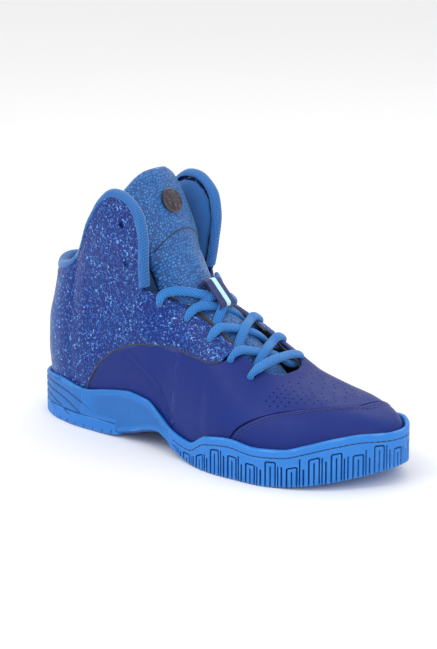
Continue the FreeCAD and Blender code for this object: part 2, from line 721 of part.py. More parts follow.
subpart(bed("board_layer", board_inset, 0.1, 0.1 + board), "insole_board")
subpart(bed("sock_layer", board_inset + 0.4, 0.3 + board, 0.3 + board + sock), "sockliner")

# ---------------------------------------------------------------- tongue
TONGUE = [(228, 46), (214, 54), (204, 62), (190, 73.5), (167, 91), (149.5, 103.5),
          (139.5, 116.5), (126.5, 138.5), (111.5, 165.5), (97, 192)]
runs = [0.0]
for (x0, z0), (x1, z1) in zip(TONGUE, TONGUE[1:]):
    runs.append(runs[-1] + math.hypot(x1 - x0, z1 - z0))
TONGUE_X = [(run, x) for run, (x, z) in zip(runs, TONGUE)]
TONGUE_Z = [(run, z) for run, (x, z) in zip(runs, TONGUE)]
TONGUE_END = runs[-1]
TONGUE_SEAM = runs[7]
LOWER_HALF_WIDTH = [(0, 19.5), (30, 21), (60, 22), (95, 23.6), (TONGUE_SEAM, 27)]


def tongue_centre(run):
    return curve(TONGUE_X, run), curve(TONGUE_Z, run)


def tongue_normal(run):
    (x0, z0), (x1, z1) = tongue_centre(max(0, run - 3)), tongue_centre(min(TONGUE_END, run + 3))
    length = math.hypot(x1 - x0, z1 - z0)
    return (z1 - z0) / length, -(x1 - x0) / length


def tongue(run, width, depth):
    """A point of the tongue: run along it, width across it, depth from its outer face."""
    x, z = tongue_centre(run)
    nx, nz = tongue_normal(run)
    bow = blend(0.030, 0.0150, smooth_step((run - TONGUE_SEAM + 25) / 45))
    inward = depth + bow * width * width
    return Vector(x - nx * inward, width, z - nz * inward)


def tongue_pad(start, end, half_width, thickness, start_gap, end_gap, near=0.0,
               rows=14, columns=10):
    """A padded length of tongue; gaps give how far its ends are cut back, outside and inside."""
    grids = []
    for face in (0, 1):
        grid = []
        for r in range(rows + 1):
            run = blend(start + start_gap[face], end - end_gap[face], r / rows)
            row = []
            for c in range(columns + 1):
                f = 2 * c / columns - 1
                width = half_width(run) * f
                depth = near if face == 0 else near + thickness * (1 - 0.45 * f * f)
                row.append(tongue(run, width, depth))
            grid.append(row)
        grids.append(grid)
    return skin(*grids)


def upper_half_width(run):
    """The upper tongue widens a little, then its top is round."""
    f = max(0.0, (run - (TONGUE_END - 22)) / 22)
    return blend(27.5, 31, smooth_step((run - TONGUE_SEAM) / 25)) * (1 - 0.72 * f ** 3)


def print_fold_line(depth):
    """Where the upper tongue folds, this far inside its seam, in the placed shoe's frame."""
    x, z = tongue_centre(TONGUE_SEAM)
    nx, nz = tongue_normal(TONGUE_SEAM)
    print("tongue fold line x", round(x - nx * depth - HALF_LENGTH, 2),
          "z", round(z - nz * depth, 2))


tongue_thickness = size("tongue_thickness")
print_fold_line(size("fold_depth"))
shell_part(tongue_pad(0.0, TONGUE_SEAM, lambda run: curve(LOWER_HALF_WIDTH, run), tongue_thickness,
                      (0, 0), (2.3, 1.3)), "tongue_lower")
shell_part(tongue_pad(4.0, TONGUE_SEAM - 3, lambda run: curve(LOWER_HALF_WIDTH, run) - 3.5, 0.9,
                      (0, 0), (0, 0), near=tongue_thickness + 0.25), "tongue_lining")
shell_part(tongue_pad(TONGUE_SEAM, TONGUE_END, upper_half_width, size("tongue_pad"),
                      (2.3, 1.3), (0, 2.5)), "tongue_upper")


# ---------------------------------------------------------------- keeper, its stripe and the emblem
def body_with_pad(name, draw, alias):
    """A PartDesign body padded from one sketch on its XY plane."""
    body = doc.addObject("PartDesign::Body", name)
    plane = next(f for f in body.Origin.OriginFeatures if f.Role == "XY_Plane")
    sketch = body.newObject("Sketcher::SketchObject", f"{name}_sketch")
    sketch.AttachmentSupport = (plane, [""])
    sketch.MapMode = "FlatFace"
    draw(sketch)
    pad_feature = body.newObject("PartDesign::Pad", f"{name}_pad")
    pad_feature.Profile = sketch
    pad_feature.setExpression("Length", f"{sheet.Name}.{alias}")
    return body


def polygon(sketch, corners):
    """A closed outline of straight lines, joined at its corners."""
    first = sketch.GeometryCount
    for start, end in zip(corners, corners[1:] + corners[:1]):
        sketch.addGeometry(Part.LineSegment(Vector(*start, 0), Vector(*end, 0)), False)
    count = len(corners)
    for i in range(count):
        sketch.addConstraint(Sketcher.Constraint("Coincident", first + i, 2,
                                                 first + (i + 1) % count, 1))


def rectangle(width_alias, height_alias):
    """A sketch of a rectangle about the origin with both sizes from the sheet."""
    def draw(sketch):
        w, h = size(width_alias) / 2, size(height_alias) / 2
        polygon(sketch, [(-w, -h), (w, -h), (w, h), (-w, h)])
        for edge, kind in ((0, "Horizontal"), (1, "Vertical"), (2, "Horizontal"),
                           (3, "Vertical")):
            sketch.addConstraint(Sketcher.Constraint(kind, edge))
        sketch.addConstraint(Sketcher.Constraint("Symmetric", 0, 1, 1, 2, -1, 1))
        for edge, kind, alias in ((0, "DistanceX", width_alias), (1, "DistanceY", height_alias)):
            index = sketch.addConstraint(Sketcher.Constraint(kind, edge, 1, edge, 2, size(alias)))
            sketch.renameConstraint(index, alias)
            sketch.setExpression(f"Constraints.{alias}", f"{sheet.Name}.{alias}")
    return draw


def circle(radius_alias):
    def draw(sketch):
        sketch.addGeometry(Part.Circle(Vector(0, 0, 0), Vector(0, 0, 1), size(radius_alias)),
                           False)
        sketch.addConstraint(Sketcher.Constraint("Coincident", 0, 3, -1, 1))
        index = sketch.addConstraint(Sketcher.Constraint("Radius", 0, size(radius_alias)))
        sketch.renameConstraint(index, radius_alias)
        sketch.setExpression(f"Constraints.{radius_alias}", f"{sheet.Name}.{radius_alias}")
    return draw


def keeper_profile(sketch):
    """A bridge seen from beside the tongue: a leg sewn on at each end and a flat top."""
    half, rise = size("keeper_length") / 2, size("keeper_rise")
    wall_size = size("keeper_thickness")
    foot = -size("keeper_foot")
    polygon(sketch, [(-half, foot), (-half, rise), (half, rise), (half, foot),
                     (half - wall_size, foot), (half - wall_size, rise - wall_size),
                     (wall_size - half, rise - wall_size), (wall_size - half, foot)])


def on_tongue(run, lift):
    """Placement with X across the tongue, Y along it and Z out of its face."""
    x, z = tongue_centre(run)
    nx, nz = tongue_normal(run)
    rotation = FreeCAD.Rotation(Vector(0, 1, 0), Vector(-nz, 0, nx), Vector(nx, 0, nz), "ZXY")
    return FreeCAD.Placement(Vector(x + nx * lift - HALF_LENGTH, 0, z + nz * lift), rotation)


def placed(body, label, placement):
    """A body named as a node and placed in the shoe's frame."""
    body.Label = label
    body.Placement = placement
    SUBPARTS.append(body)


KEEPER_RUN = runs[5] + 1.5
keeper = body_with_pad("Keeper", keeper_profile, "keeper_width")
sideways = FreeCAD.Placement(Vector(-size("keeper_width") / 2, 0, 0),
                             FreeCAD.Rotation(Vector(0, 1, 0), Vector(0, 0, 1), Vector(1, 0, 0),
                                              "ZXY"))
placed(keeper, "lace_keeper", on_tongue(KEEPER_RUN, 0).multiply(sideways))
stripe = body_with_pad("Stripe", rectangle("stripe_width", "keeper_length"), "stripe_thickness")
placed(stripe, "keeper_stripe", on_tongue(KEEPER_RUN, size("keeper_rise") + 0.05))
EMBLEM_RUN = runs[8] + 3.0
emblem = body_with_pad("Emblem", circle("emblem_radius"), "emblem_thickness")
placed(emblem, "tongue_emblem", on_tongue(EMBLEM_RUN, -0.6))

# ---------------------------------------------------------------- lace
OUT_OF_THROAT = Vector(0.6, 0, 0.8)
# From the middle of the bottom bar to one tip: x, y, z and how far that half is raised out of the
# throat where the two halves cross.  The other half has y reversed and is lowered there.
LACE_HALF = [
    (206, 0, 72, 0), (206, -13, 71.5, 0), (205.6, -23, 69.5, 0), (204.8, -29, 66.5, 0),
    (201.5, -26, 60.5, 0), (199, -18.5, 62, 0), (197.5, -10, 70.5, 0),
    (194.5, 0, 75, 1.9), (190.5, 12, 77, 0), (188.8, 21.5, 80, 0), (188.4, 30.5, 76, 0),
    (185.4, 27, 70, 0), (183, 19.5, 73, 0), (180.5, 10, 82.5, 0),
    (176.5, 0, 88.5, -1.9), (172, -11, 90, 0), (169.5, -19.5, 92, 0), (168.7, -29.3, 86, 0),
    (166.3, -25, 80, 0), (163.5, -18.5, 84, 0), (161, -10, 94.5, 0),
    (157.5, 0, 101.5, 1.9), (152, 11, 102, 0), (148, 19.5, 102, 0), (146.5, 27.3, 96, 0),
    (144.3, 22.5, 89.5, 0), (145.5, 16.5, 97.5, 0), (149.5, 9, 105.5, 0),
    (151.7, 0, 107.3, -2.1), (147, -11.5, 109.5, 0), (135, -21.5, 112.5, 0),
    (127, -30.5, 110.5, 0), (127.5, -34, 104, 0), (122, -26.5, 100, 0), (117.5, -26, 90, 0),
    (114, -26.5, 77, 0), (111, -26.5, 63, 0), (109.5, -26, 49, 0), (111, -24.5, 36, 0),
    (118, -23, 26.5, 0), (131, -22.8, 22.3, 0), (148, -24.5, 20.9, 0), (167, -28.5, 19.9, 0),
    (188, -32.5, 19.4, 0), (210, -34, 19.2, 0), (231, -32.5, 19.0, 0), (249, -27.5, 21.4, 0),
]


def lace_route():
    """The whole lace from its lateral tip to its medial tip."""
    first = [Vector(x, y, z) + OUT_OF_THROAT * lift for x, y, z, lift in LACE_HALF]
    second = [Vector(x, -y, z) - OUT_OF_THROAT * lift for x, y, z, lift in LACE_HALF[1:]]
    return list(reversed(first)) + second


def tube_path(points):
    """Straight runs joined by tangent arcs as large as the runs allow."""
    edges, radii = [], []
    here = points[0]
    for before, corner, after in zip(points, points[1:], points[2:]):
        to_corner, from_corner = corner - before, after - corner
        shorter = min(to_corner.Length, from_corner.Length)
        turn = to_corner.getAngle(from_corner)
        setback = 0.45 * shorter
        radii.append(setback / math.tan(turn / 2))
        arc_start = corner - to_corner / to_corner.Length * setback
        arc_end = corner + from_corner / from_corner.Length * setback
        bisector = (arc_start + arc_end) / 2 - corner
        centre_gap = radii[-1] / math.cos(turn / 2)
        centre = corner + bisector / bisector.Length * centre_gap
        arc_middle = centre + (corner - centre) / centre_gap * radii[-1]
        edges.append(Part.LineSegment(here, arc_start).toShape())
        edges.append(Part.Arc(arc_start, arc_middle, arc_end).toShape())
        here = arc_end
    edges.append(Part.LineSegment(here, points[-1]).toShape())
    return Part.Wire(edges), radii


def tube(points, radius):
    path, radii = tube_path(points)
    direction = points[1] - points[0]
    section = Part.Wire([Part.Circle(points[0], direction, radius).toShape()])
    solid = path.makePipeShell([section], True, False)
    if solid.Volume < 0:
        solid.reverse()
    print("tube length", round(path.Length, 1), "smallest radius", round(min(radii), 2),
          "volume ratio", round(solid.Volume / (path.Length * math.pi * radius ** 2), 4))
    return solid


route = lace_route()
shell_part(tube(route, size("lace_radius")), "lace")


def aglet(name, label, tip, before):
    """A plastic sleeve that carries on from one end of the lace."""
    out = tip - before
    body = body_with_pad(name, circle("aglet_radius"), "aglet_length")
    placement = FreeCAD.Placement(tip - Vector(HALF_LENGTH, 0, 0),
                                  FreeCAD.Rotation(Vector(0, 0, 1), out))
    placed(body, label, placement)


aglet("LateralAglet", "aglet_lateral", route[0], route[1])
aglet("MedialAglet", "aglet_medial", route[-1], route[-2])

# ---------------------------------------------------------------- checks and files
doc.recompute()
for obj in doc.Objects:
    if "Invalid" in obj.State or "Error" in obj.State:
        raise RuntimeError(f"{obj.Label} did not recompute: {obj.State}")
for obj in SUBPARTS:
    if obj.Shape.isNull() or not obj.Shape.isValid() or len(obj.Shape.Solids) != 1:
        raise RuntimeError(f"{obj.Label} is not one valid solid")

os.makedirs("parts", exist_ok=True)
for obj in SUBPARTS:
    obj.Shape.exportStep(os.path.join("parts", f"{obj.Label}.step"))
    print(obj.Label, "volume", round(obj.Shape.Volume), "mm3")
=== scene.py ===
import math

import bmesh
import bpy
import numpy as np
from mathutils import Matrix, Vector


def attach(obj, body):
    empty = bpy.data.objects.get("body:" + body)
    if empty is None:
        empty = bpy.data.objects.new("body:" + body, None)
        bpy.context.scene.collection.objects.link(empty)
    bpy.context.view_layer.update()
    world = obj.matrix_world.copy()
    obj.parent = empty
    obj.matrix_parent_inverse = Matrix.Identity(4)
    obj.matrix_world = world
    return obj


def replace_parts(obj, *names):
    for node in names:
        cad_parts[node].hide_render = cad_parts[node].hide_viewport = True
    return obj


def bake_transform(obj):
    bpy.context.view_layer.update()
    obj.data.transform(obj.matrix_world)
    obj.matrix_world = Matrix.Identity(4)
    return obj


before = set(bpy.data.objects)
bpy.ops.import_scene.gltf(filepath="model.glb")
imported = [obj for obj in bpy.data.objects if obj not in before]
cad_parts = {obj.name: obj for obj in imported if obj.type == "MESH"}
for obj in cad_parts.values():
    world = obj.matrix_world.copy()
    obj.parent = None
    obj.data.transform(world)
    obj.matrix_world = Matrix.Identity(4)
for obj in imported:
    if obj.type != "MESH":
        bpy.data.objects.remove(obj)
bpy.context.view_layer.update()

# The shoe is drawn in millimetres from its heel (x = 0 at the back of the heel, +x to the toe,
# +y medial, +z up) and moved to the frame's origin, in metres, when a mesh is made.
MM = 0.001
LENGTH = 302.0
HALF_LENGTH = LENGTH / 2
LATERAL, MEDIAL = -1, 1
SIDE_NAMES = {LATERAL: "lateral", MEDIAL: "medial"}
SHOE, TONGUE_TOP = "shoe", "tongue_top"


def to_row(points):
    """Millimetres from the heel to metres in the frame."""
    return (np.asarray(points, float) - (HALF_LENGTH, 0, 0)) * MM


# ---------------------------------------------------------------- smooth tables
def monotone(stations, values, at):
    """Smooth curve through values, one row per station, without overshoot, flat beyond both ends."""
    at = np.atleast_1d(np.asarray(at, float))
    stations = np.asarray(stations, float)
    values = np.asarray(values, float).reshape(len(stations), -1)
    values = np.broadcast_to(values, (len(stations), at.size))
    gaps = np.diff(stations)
    slopes = np.diff(values, axis=0) / gaps[:, None]
    before, after = slopes[:-1], slopes[1:]
    same_way = before * after > 0
    total = np.where(same_way, before + after, 1.0)
    inner = np.where(same_way, 2 * before * after / total, 0.0)
    tangents = np.vstack([slopes[:1], inner, slopes[-1:]])
    x = np.clip(at, stations[0], stations[-1])
    i = np.clip(np.searchsorted(stations, x, side="right") - 1, 0, len(stations) - 2)
    n = np.arange(at.size)
    f = (x - stations[i]) / gaps[i]
    return ((1 + 2 * f) * (1 - f) ** 2 * values[i, n]
            + f * (1 - f) ** 2 * gaps[i] * tangents[i, n]
            + f * f * (3 - 2 * f) * values[i + 1, n]
            + f * f * (f - 1) * gaps[i] * tangents[i + 1, n])


def curve(table, at):
    """Smooth curve through (at, value) pairs."""
    stations, values = zip(*table)
    return monotone(stations, values, np.ravel(at)).reshape(np.shape(at))


def blend(a, b, f):
    return a + (b - a) * f


def smooth_step(f):
    f = np.clip(f, 0, 1)
    return f * f * (3 - 2 * f)


def bump(distance, width):
    """1 at no distance, falling smoothly to 0 at about twice the width."""
    return np.exp(-(distance / width) ** 2)


def smooth_rows(points, runs, at):
    """Rows of a smooth curve that passes each row of points at its run."""
    gaps = np.diff(runs)
    slopes = np.diff(points, axis=0) / gaps[:, None]
    before, after = gaps[:-1, None], gaps[1:, None]
    inner = (slopes[:-1] * after + slopes[1:] * before) / (before + after)
    tangents = np.vstack([slopes[:1], inner, slopes[-1:]])
    i = np.clip(np.searchsorted(runs, at, side="right") - 1, 0, len(points) - 2)
    f = ((at - runs[i]) / gaps[i])[:, None]
    span = gaps[i][:, None]
    return ((1 + 2 * f) * (1 - f) ** 2 * points[i] + f * (1 - f) ** 2 * span * tangents[i]
            + f * f * (3 - 2 * f) * points[i + 1] + f * f * (f - 1) * span * tangents[i + 1])


def through(points, spacing):
    """Points spaced evenly along a smooth curve through the rows of points."""
    points = np.asarray(points, float)
    runs = path_lengths(points)
    at = np.linspace(0, runs[-1], max(2, int(round(runs[-1] / spacing)) + 1))
    return smooth_rows(points, runs, at)


def path_lengths(points):
    steps = np.linalg.norm(np.diff(points, axis=0), axis=1)
    return np.concatenate([[0], np.cumsum(steps)])


# ---------------------------------------------------------------- the shoe's lines, as in the CAD
OUTLINE = {
    LATERAL: [(0, 0), (1, 8), (3, 14), (12, 25.5), (30, 35), (55, 40), (90, 41), (125, 43),
              (160, 50), (195, 57), (225, 56), (250, 49), (272, 35), (290, 15), (297, 4),
              (300.8, -5), (302, -14)],
    MEDIAL: [(0, 0), (1, 8), (3, 14.5), (12, 26.5), (30, 36.5), (55, 41.5), (90, 40), (125, 36),
             (155, 39), (190, 49), (225, 57), (255, 54.5), (276, 46), (290, 35.5), (297, 28),
             (300.8, 21), (302, 14)],
}
SOLE_HALF_WIDTH = 57.0
SOLE_TOP = [(0, 29), (32, 33), (60, 30), (82, 34), (104, 37), (121, 35), (135, 27), (150, 19),
            (168, 16), (186, 25), (208, 28), (227, 26), (248, 27), (262, 31), (278, 36),
            (290, 38), (302, 37)]
ARCH = [(76, 0), (90, 2), (104, 5), (120, 10), (132, 12), (147, 7), (165, 1.5), (172, 0)]
CENTRE_LINE = [(150, 0), (200, 3), (240, 8), (270, 11.5), (302, 14)]
TOE_SPRING_START, TOE_SPRING = 232.0, 12.0
FOOTBED = [(0, 17), (60, 17), (120, 17.2), (145, 14.8), (170, 11.5), (232, 11)]
INSET = 3.6                         # outline of the sole to the upper's outer face
RIDGE = [(112, 117), (125, 113), (140, 105), (152, 99.5), (168, 92), (190, 78.5), (205, 68.5),
         (216, 61.5), (231, 56.5), (247, 53), (262, 50.5), (275, 47.5), (285, 44.5), (292, 40.5),
         (296, 35), (298.4, 27)]
TOE_TIP = 298.4
ROUNDNESS = 2.2
BOXINESS = [(116, 5.0), (150, 3.7), (180, 3.3)]
WALL_STATIONS = [45, 60, 90, 116, 122]
WALL_HALF_WIDTH = [
    [(15, 34.5), (30, 35), (50, 35.5), (75, 34), (100, 30.5), (130, 27), (160, 28), (182, 30)],
    [(15, 36), (30, 37), (50, 38), (75, 37), (100, 35.5), (130, 35), (160, 38), (182, 40)],
    [(15, 37), (30, 38), (50, 39), (75, 37.5), (100, 37), (130, 40), (160, 42.5), (182, 43.5)],
    [(15, 38.5), (30, 39.5), (50, 40), (75, 38), (100, 37), (130, 41), (160, 43), (182, 44)],
    [(15, 39), (30, 40), (50, 40.5), (75, 38), (100, 35.5), (130, 40.5), (160, 43), (182, 44)],
]
HEEL_BACK = [(12, 4.2), (30, 4.0), (50, 1.8), (70, 2.2), (88, 6.5), (100, 9.0), (114, 11.5)]
HEEL_CENTRE, HEEL_TURN, HEEL_SHAPE = 45.0, 65.0, 1.85
PANEL = 1.7                         # thickness of an outer panel
LINING = 3.3                        # outer face of the upper to its lining


def toe_lift(x):
    run = LENGTH - TOE_SPRING_START
    return TOE_SPRING * (np.maximum(0.0, x - TOE_SPRING_START) / run) ** 1.8


def footbed(x):
    return curve(FOOTBED, x) + toe_lift(x)


def sole_bottom(x):
    heel_bevel = 3 * (np.maximum(0.0, 14 - x) / 14) ** 2
    return curve(ARCH, x) + toe_lift(x) + heel_bevel


def sole_top(x):
    return curve(SOLE_TOP, x)


def edge_of(side, x):
    """Signed distance of the outline at its own station, on one side or on a side per point."""
    edges = np.where(np.asarray(side) < 0, curve(OUTLINE[LATERAL], x), curve(OUTLINE[MEDIAL], x))
    return side * edges


def ring_point(side, station, inset):
    """Plan place of a station of the outline, drawn in by inset."""
    x = inset + station * (LENGTH - 2 * inset) / LENGTH
    narrow = 1 - inset / SOLE_HALF_WIDTH * 1.1
    middle = curve(CENTRE_LINE, station)
    return x, middle + (edge_of(side, station) - middle) * narrow


def outline_point(side, x, inset):
    station = (x - inset) * LENGTH / (LENGTH - 2 * inset)
    return ring_point(side, station, inset)[1]


def dome(side, x, a, depth=0.0):
    """A point over the foot: a is 0 on the ridge and 1 at the sole."""
    side, x, a, depth = np.broadcast_arrays(side, np.minimum(x, TOE_TIP), a, depth)
    nose = smooth_step((x - 262) / 40)
    foot = footbed(x) + 0.4
    centre = curve(CENTRE_LINE, x)
    reach = {s: np.abs(outline_point(s, x, INSET) - centre) for s in (LATERAL, MEDIAL)}
    own = np.where(side < 0, reach[LATERAL], reach[MEDIAL])
    width = blend((reach[LATERAL] + reach[MEDIAL]) / 2, own, a) - depth * (1 - 0.5 * nose)
    width = np.maximum(0.0, width)
    rise = np.maximum(0.0, curve(RIDGE, x) - depth - foot)
    angle = np.clip(a, 0, 1) * math.pi / 2
    y = centre + side * width * np.sin(angle) ** (2 / curve(BOXINESS, x))
    z = foot + rise * np.maximum(0.0, np.cos(angle)) ** (2 / ROUNDNESS)
    return np.stack([x - depth * nose, y, z], axis=-1)


def across(x, height):
    """The dome's a at a height."""
    foot = footbed(x) + 0.4
    f = np.clip((height - foot) / (curve(RIDGE, x) - foot), 0, 1)
    return np.arccos(f ** (ROUNDNESS / 2)) / (math.pi / 2)


def wall_width(side, x, z):
    """Half width of the ankle's wall at a station and a height."""
    flat_x, flat_z = np.ravel(x), np.ravel(z)
    widths = np.array([curve(column, flat_z) for column in WALL_HALF_WIDTH])
    width = monotone(WALL_STATIONS, widths, flat_x).reshape(np.shape(x))
    ratio = curve(OUTLINE[MEDIAL], x) / curve(OUTLINE[LATERAL], x)
    medial = width * blend(ratio, 1.0, smooth_step((z - 20) / 60))
    width = np.where(np.asarray(side) > 0, medial, width)
    inside_cup = np.abs(outline_point(side, x, INSET))
    return blend(np.minimum(width, inside_cup), width, smooth_step((z - sole_top(x)) / 18))


def wall(side, girth, z, depth=0.0):
    """A point of the side wall: girth is x forward of the heel's axis, and runs round behind it."""
    side, girth, z, depth = (np.array(v, float) for v in
                             np.broadcast_arrays(side, girth, z, depth))
    z = np.maximum(z, footbed(np.maximum(0.0, girth)) + 0.4)
    turn = math.pi / 2 * (np.minimum(girth, HEEL_CENTRE) - HEEL_CENTRE + HEEL_TURN) / HEEL_TURN
    back = HEEL_CENTRE - curve(HEEL_BACK, z) - depth
    half = wall_width(side, np.full_like(z, HEEL_CENTRE), z) - depth
    reach = ((np.abs(np.cos(turn)) / back) ** HEEL_SHAPE
             + (np.abs(np.sin(turn)) / half) ** HEEL_SHAPE) ** (-1 / HEEL_SHAPE)
    heel = np.stack([HEEL_CENTRE - reach * np.cos(turn), side * reach * np.sin(turn), z], axis=-1)
    forward = np.maximum(girth, HEEL_CENTRE)
    upright_y = side * (wall_width(side, forward, z) - depth)
    share = np.where(z > 113, 0.0, smooth_step((forward - 112) / 28))
    ridge_x = np.maximum(forward, 112.5)
    height = np.minimum(z + depth * 0.6, curve(RIDGE, ridge_x))
    leaning_y = dome(side, ridge_x, across(ridge_x, height), depth)[..., 1]
    front = np.stack([forward, blend(upright_y, leaning_y, share), z], axis=-1)
    return np.where((girth < HEEL_CENTRE)[..., None], heel, front)


# ---------------------------------------------------------------- meshes
def new_object(name, vertices, faces, body, material, millimetres=True):
    """A mesh piece that rides on a body, with outward faces and one material."""
    mesh = bpy.data.meshes.new(name)
    mesh.from_pydata((to_row(vertices) if millimetres else np.asarray(vertices)).tolist(), [],
                     [tuple(int(i) for i in face) for face in faces])
    work = bmesh.new()
    work.from_mesh(mesh)
    bmesh.ops.recalc_face_normals(work, faces=work.faces)
    work.to_mesh(mesh)
    work.free()
    mesh.materials.append(material)
    obj = bpy.data.objects.new(name, mesh)
    bpy.context.scene.collection.objects.link(obj)
    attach(obj, body)
    smooth(obj)
    return obj


def smooth(obj, angle=48):
    obj.data.shade_smooth()
    obj.data.set_sharp_from_angle(angle=math.radians(angle))


def grid_faces(rows, columns, offset=0, wrap=False):
    """Quads of a grid of vertices, row after row."""
    r, c = np.meshgrid(np.arange(rows if wrap else rows - 1), np.arange(columns - 1),
                       indexing="ij")
    r, c = r.ravel(), c.ravel()
    below = (r + 1) % rows
    return (offset + np.stack([r * columns + c, r * columns + c + 1,
                               below * columns + c + 1, below * columns + c], axis=1)).tolist()


def slab(name, outer, inner, body, material, slot, edge=0.45):
    """A closed sheet between two grids of points of one size, with rounded edges."""
    rows, columns = outer.shape[:2]
    count = rows * columns
    vertices = np.concatenate([outer.reshape(-1, 3), inner.reshape(-1, 3)])
    faces = grid_faces(rows, columns) + [f[::-1] for f in grid_faces(rows, columns, count)]
    rim = ([r * columns for r in range(rows)]
           + [(rows - 1) * columns + c for c in range(1, columns)]
           + [r * columns + columns - 1 for r in range(rows - 2, -1, -1)]
           + [c for c in range(columns - 2, 0, -1)])
    for a, b in zip(rim, rim[1:] + rim[:1]):
        faces.append((a, b, count + b, count + a))
    obj = new_object(name, vertices, faces, body, material)
    if edge:
        bevel(obj, edge)
    return obj


def bevel(obj, width, segments=2, angle=55):
    """Rounded edges where faces meet sharply."""
    modifier = obj.modifiers.new("edges", "BEVEL")
    modifier.width = width * MM
    modifier.segments = segments
    modifier.limit_method = "ANGLE"
    modifier.angle_limit = math.radians(angle)
    modifier.use_clamp_overlap = True


def apply_modifiers(obj):
    """Replace the object's mesh with what its modifiers give."""
    bpy.context.view_layer.update()
    evaluated = obj.evaluated_get(bpy.context.evaluated_depsgraph_get())
    mesh = bpy.data.meshes.new_from_object(evaluated)
    obj.modifiers.clear()
    obj.data = mesh


def loop_sweep(name, sections, body, material):
    """A closed solid from cross-sections of equal point counts, capped at both ends."""
    sections = np.asarray(sections)
    count, around = sections.shape[:2]
    rows = np.swapaxes(sections, 0, 1)
    faces = grid_faces(around, count, wrap=True)
    faces.append([r * count for r in range(around)][::-1])
    faces.append([r * count + count - 1 for r in range(around)])
    return new_object(name, rows.reshape(-1, 3), faces, body, material)


def cut_with(obj, cutters):
    """Cut closed tools out of a piece, then take the tools away."""
    modifier = obj.modifiers.new("cut", "BOOLEAN")
    modifier.operation = "DIFFERENCE"
    modifier.solver = "EXACT"
    modifier.object = cutters
    apply_modifiers(obj)
    bpy.data.objects.remove(cutters)
    smooth(obj)


def cylinders(name, places, radius, length, sides=14):
    """Closed cylinders along given directions, as one mesh of tools."""
    vertices, faces = [], []
    for centre, direction in places:
        direction = direction / np.linalg.norm(direction)
        first = np.cross(direction, (0, 0, 1))
        first = first / np.linalg.norm(first)
        second = np.cross(direction, first)
        base = len(vertices)
        for end in (-0.5, 0.5):
            for i in range(sides):
                turn = 2 * math.pi * i / sides
                vertices.append(centre + direction * length * end
                                + (first * math.cos(turn) + second * math.sin(turn)) * radius)
        faces += [(base + i, base + (i + 1) % sides, base + sides + (i + 1) % sides,
                   base + sides + i) for i in range(sides)]
        faces += [[base + i for i in range(sides)][::-1], [base + sides + i for i in range(sides)]]
    mesh = bpy.data.meshes.new(name)
    mesh.from_pydata(to_row(vertices).tolist(), [], faces)
    obj = bpy.data.objects.new(name, mesh)
    bpy.context.scene.collection.objects.link(obj)
    return obj


# ---------------------------------------------------------------- panels of the upper
def panel_grid(columns, spacing, place):
    """A grid over a panel; columns hold the low and high end of each column as (u, v, u, v)."""
    fine = through(columns, spacing)
    low, high = fine[:, :2], fine[:, 2:]
    middle = place(*blend(low, high, 0.5).T)
    longest = max(np.linalg.norm(place(*low.T) - middle, axis=1).max(),
                  np.linalg.norm(place(*high.T) - middle, axis=1).max()) * 2
    rows = max(4, int(longest / spacing))
    f = np.linspace(0, 1, rows + 1)[:, None]
    u = blend(low[:, 0], high[:, 0], f)
    v = blend(low[:, 1], high[:, 1], f)
    return u, v, f * np.ones_like(u)


def wall_slab(name, side, columns, near, far, material, slot, relief=None, spacing=1.6, edge=0.45):
    """A panel of the side wall; relief gives how much its face stands out at (girth, z)."""
    u, v, _ = panel_grid(columns, spacing, lambda g, z: wall(side, g, z))
    raised = near - (relief(u, v) if relief else 0.0)
    return slab(name, wall(side, u, v, raised), wall(side, u, v, far), SHOE, material, slot, edge)


def dome_place(space, signed, depth):
    side = np.where(signed < 0, LATERAL, MEDIAL)
    return dome(side, TOE_TIP - space * space, np.abs(signed), depth)


def dome_slab(name, columns, near, far, material, slot, relief=None, spacing=1.6, edge=0.45):
    """A panel over both halves of the dome; columns hold (x, a) inner and outer."""
    def space(x):
        return -math.sqrt(max(0.0, TOE_TIP - x))
    warped = np.array([(space(x0), a0, space(x1), a1) for x0, a0, x1, a1 in columns])
    # columns are spaced by their real distance over the shoe
    ends = np.concatenate([dome_place(warped[:, 0], warped[:, 1], 0),
                           dome_place(warped[:, 2], warped[:, 3], 0)], axis=1)
    runs = path_lengths(ends) / math.sqrt(2)
    fine = smooth_rows(warped, runs, np.linspace(0, runs[-1], int(runs[-1] / spacing) + 1))
    low, high = fine[:, :2], fine[:, 2:]
    longest = np.linalg.norm(dome_place(*low.T, 0) - dome_place(*high.T, 0), axis=1).max() * 1.2
    f = np.linspace(0, 1, max(4, int(longest / spacing)) + 1)[:, None]
    u, v = blend(low[:, 0], high[:, 0], f), blend(low[:, 1], high[:, 1], f)
    u = np.minimum(u, 0.0)
    raised = near - (relief(TOE_TIP - u * u, v) if relief else 0.0)
    return slab(name, dome_place(u, v, raised), dome_place(u, v, far), SHOE, material, slot, edge)


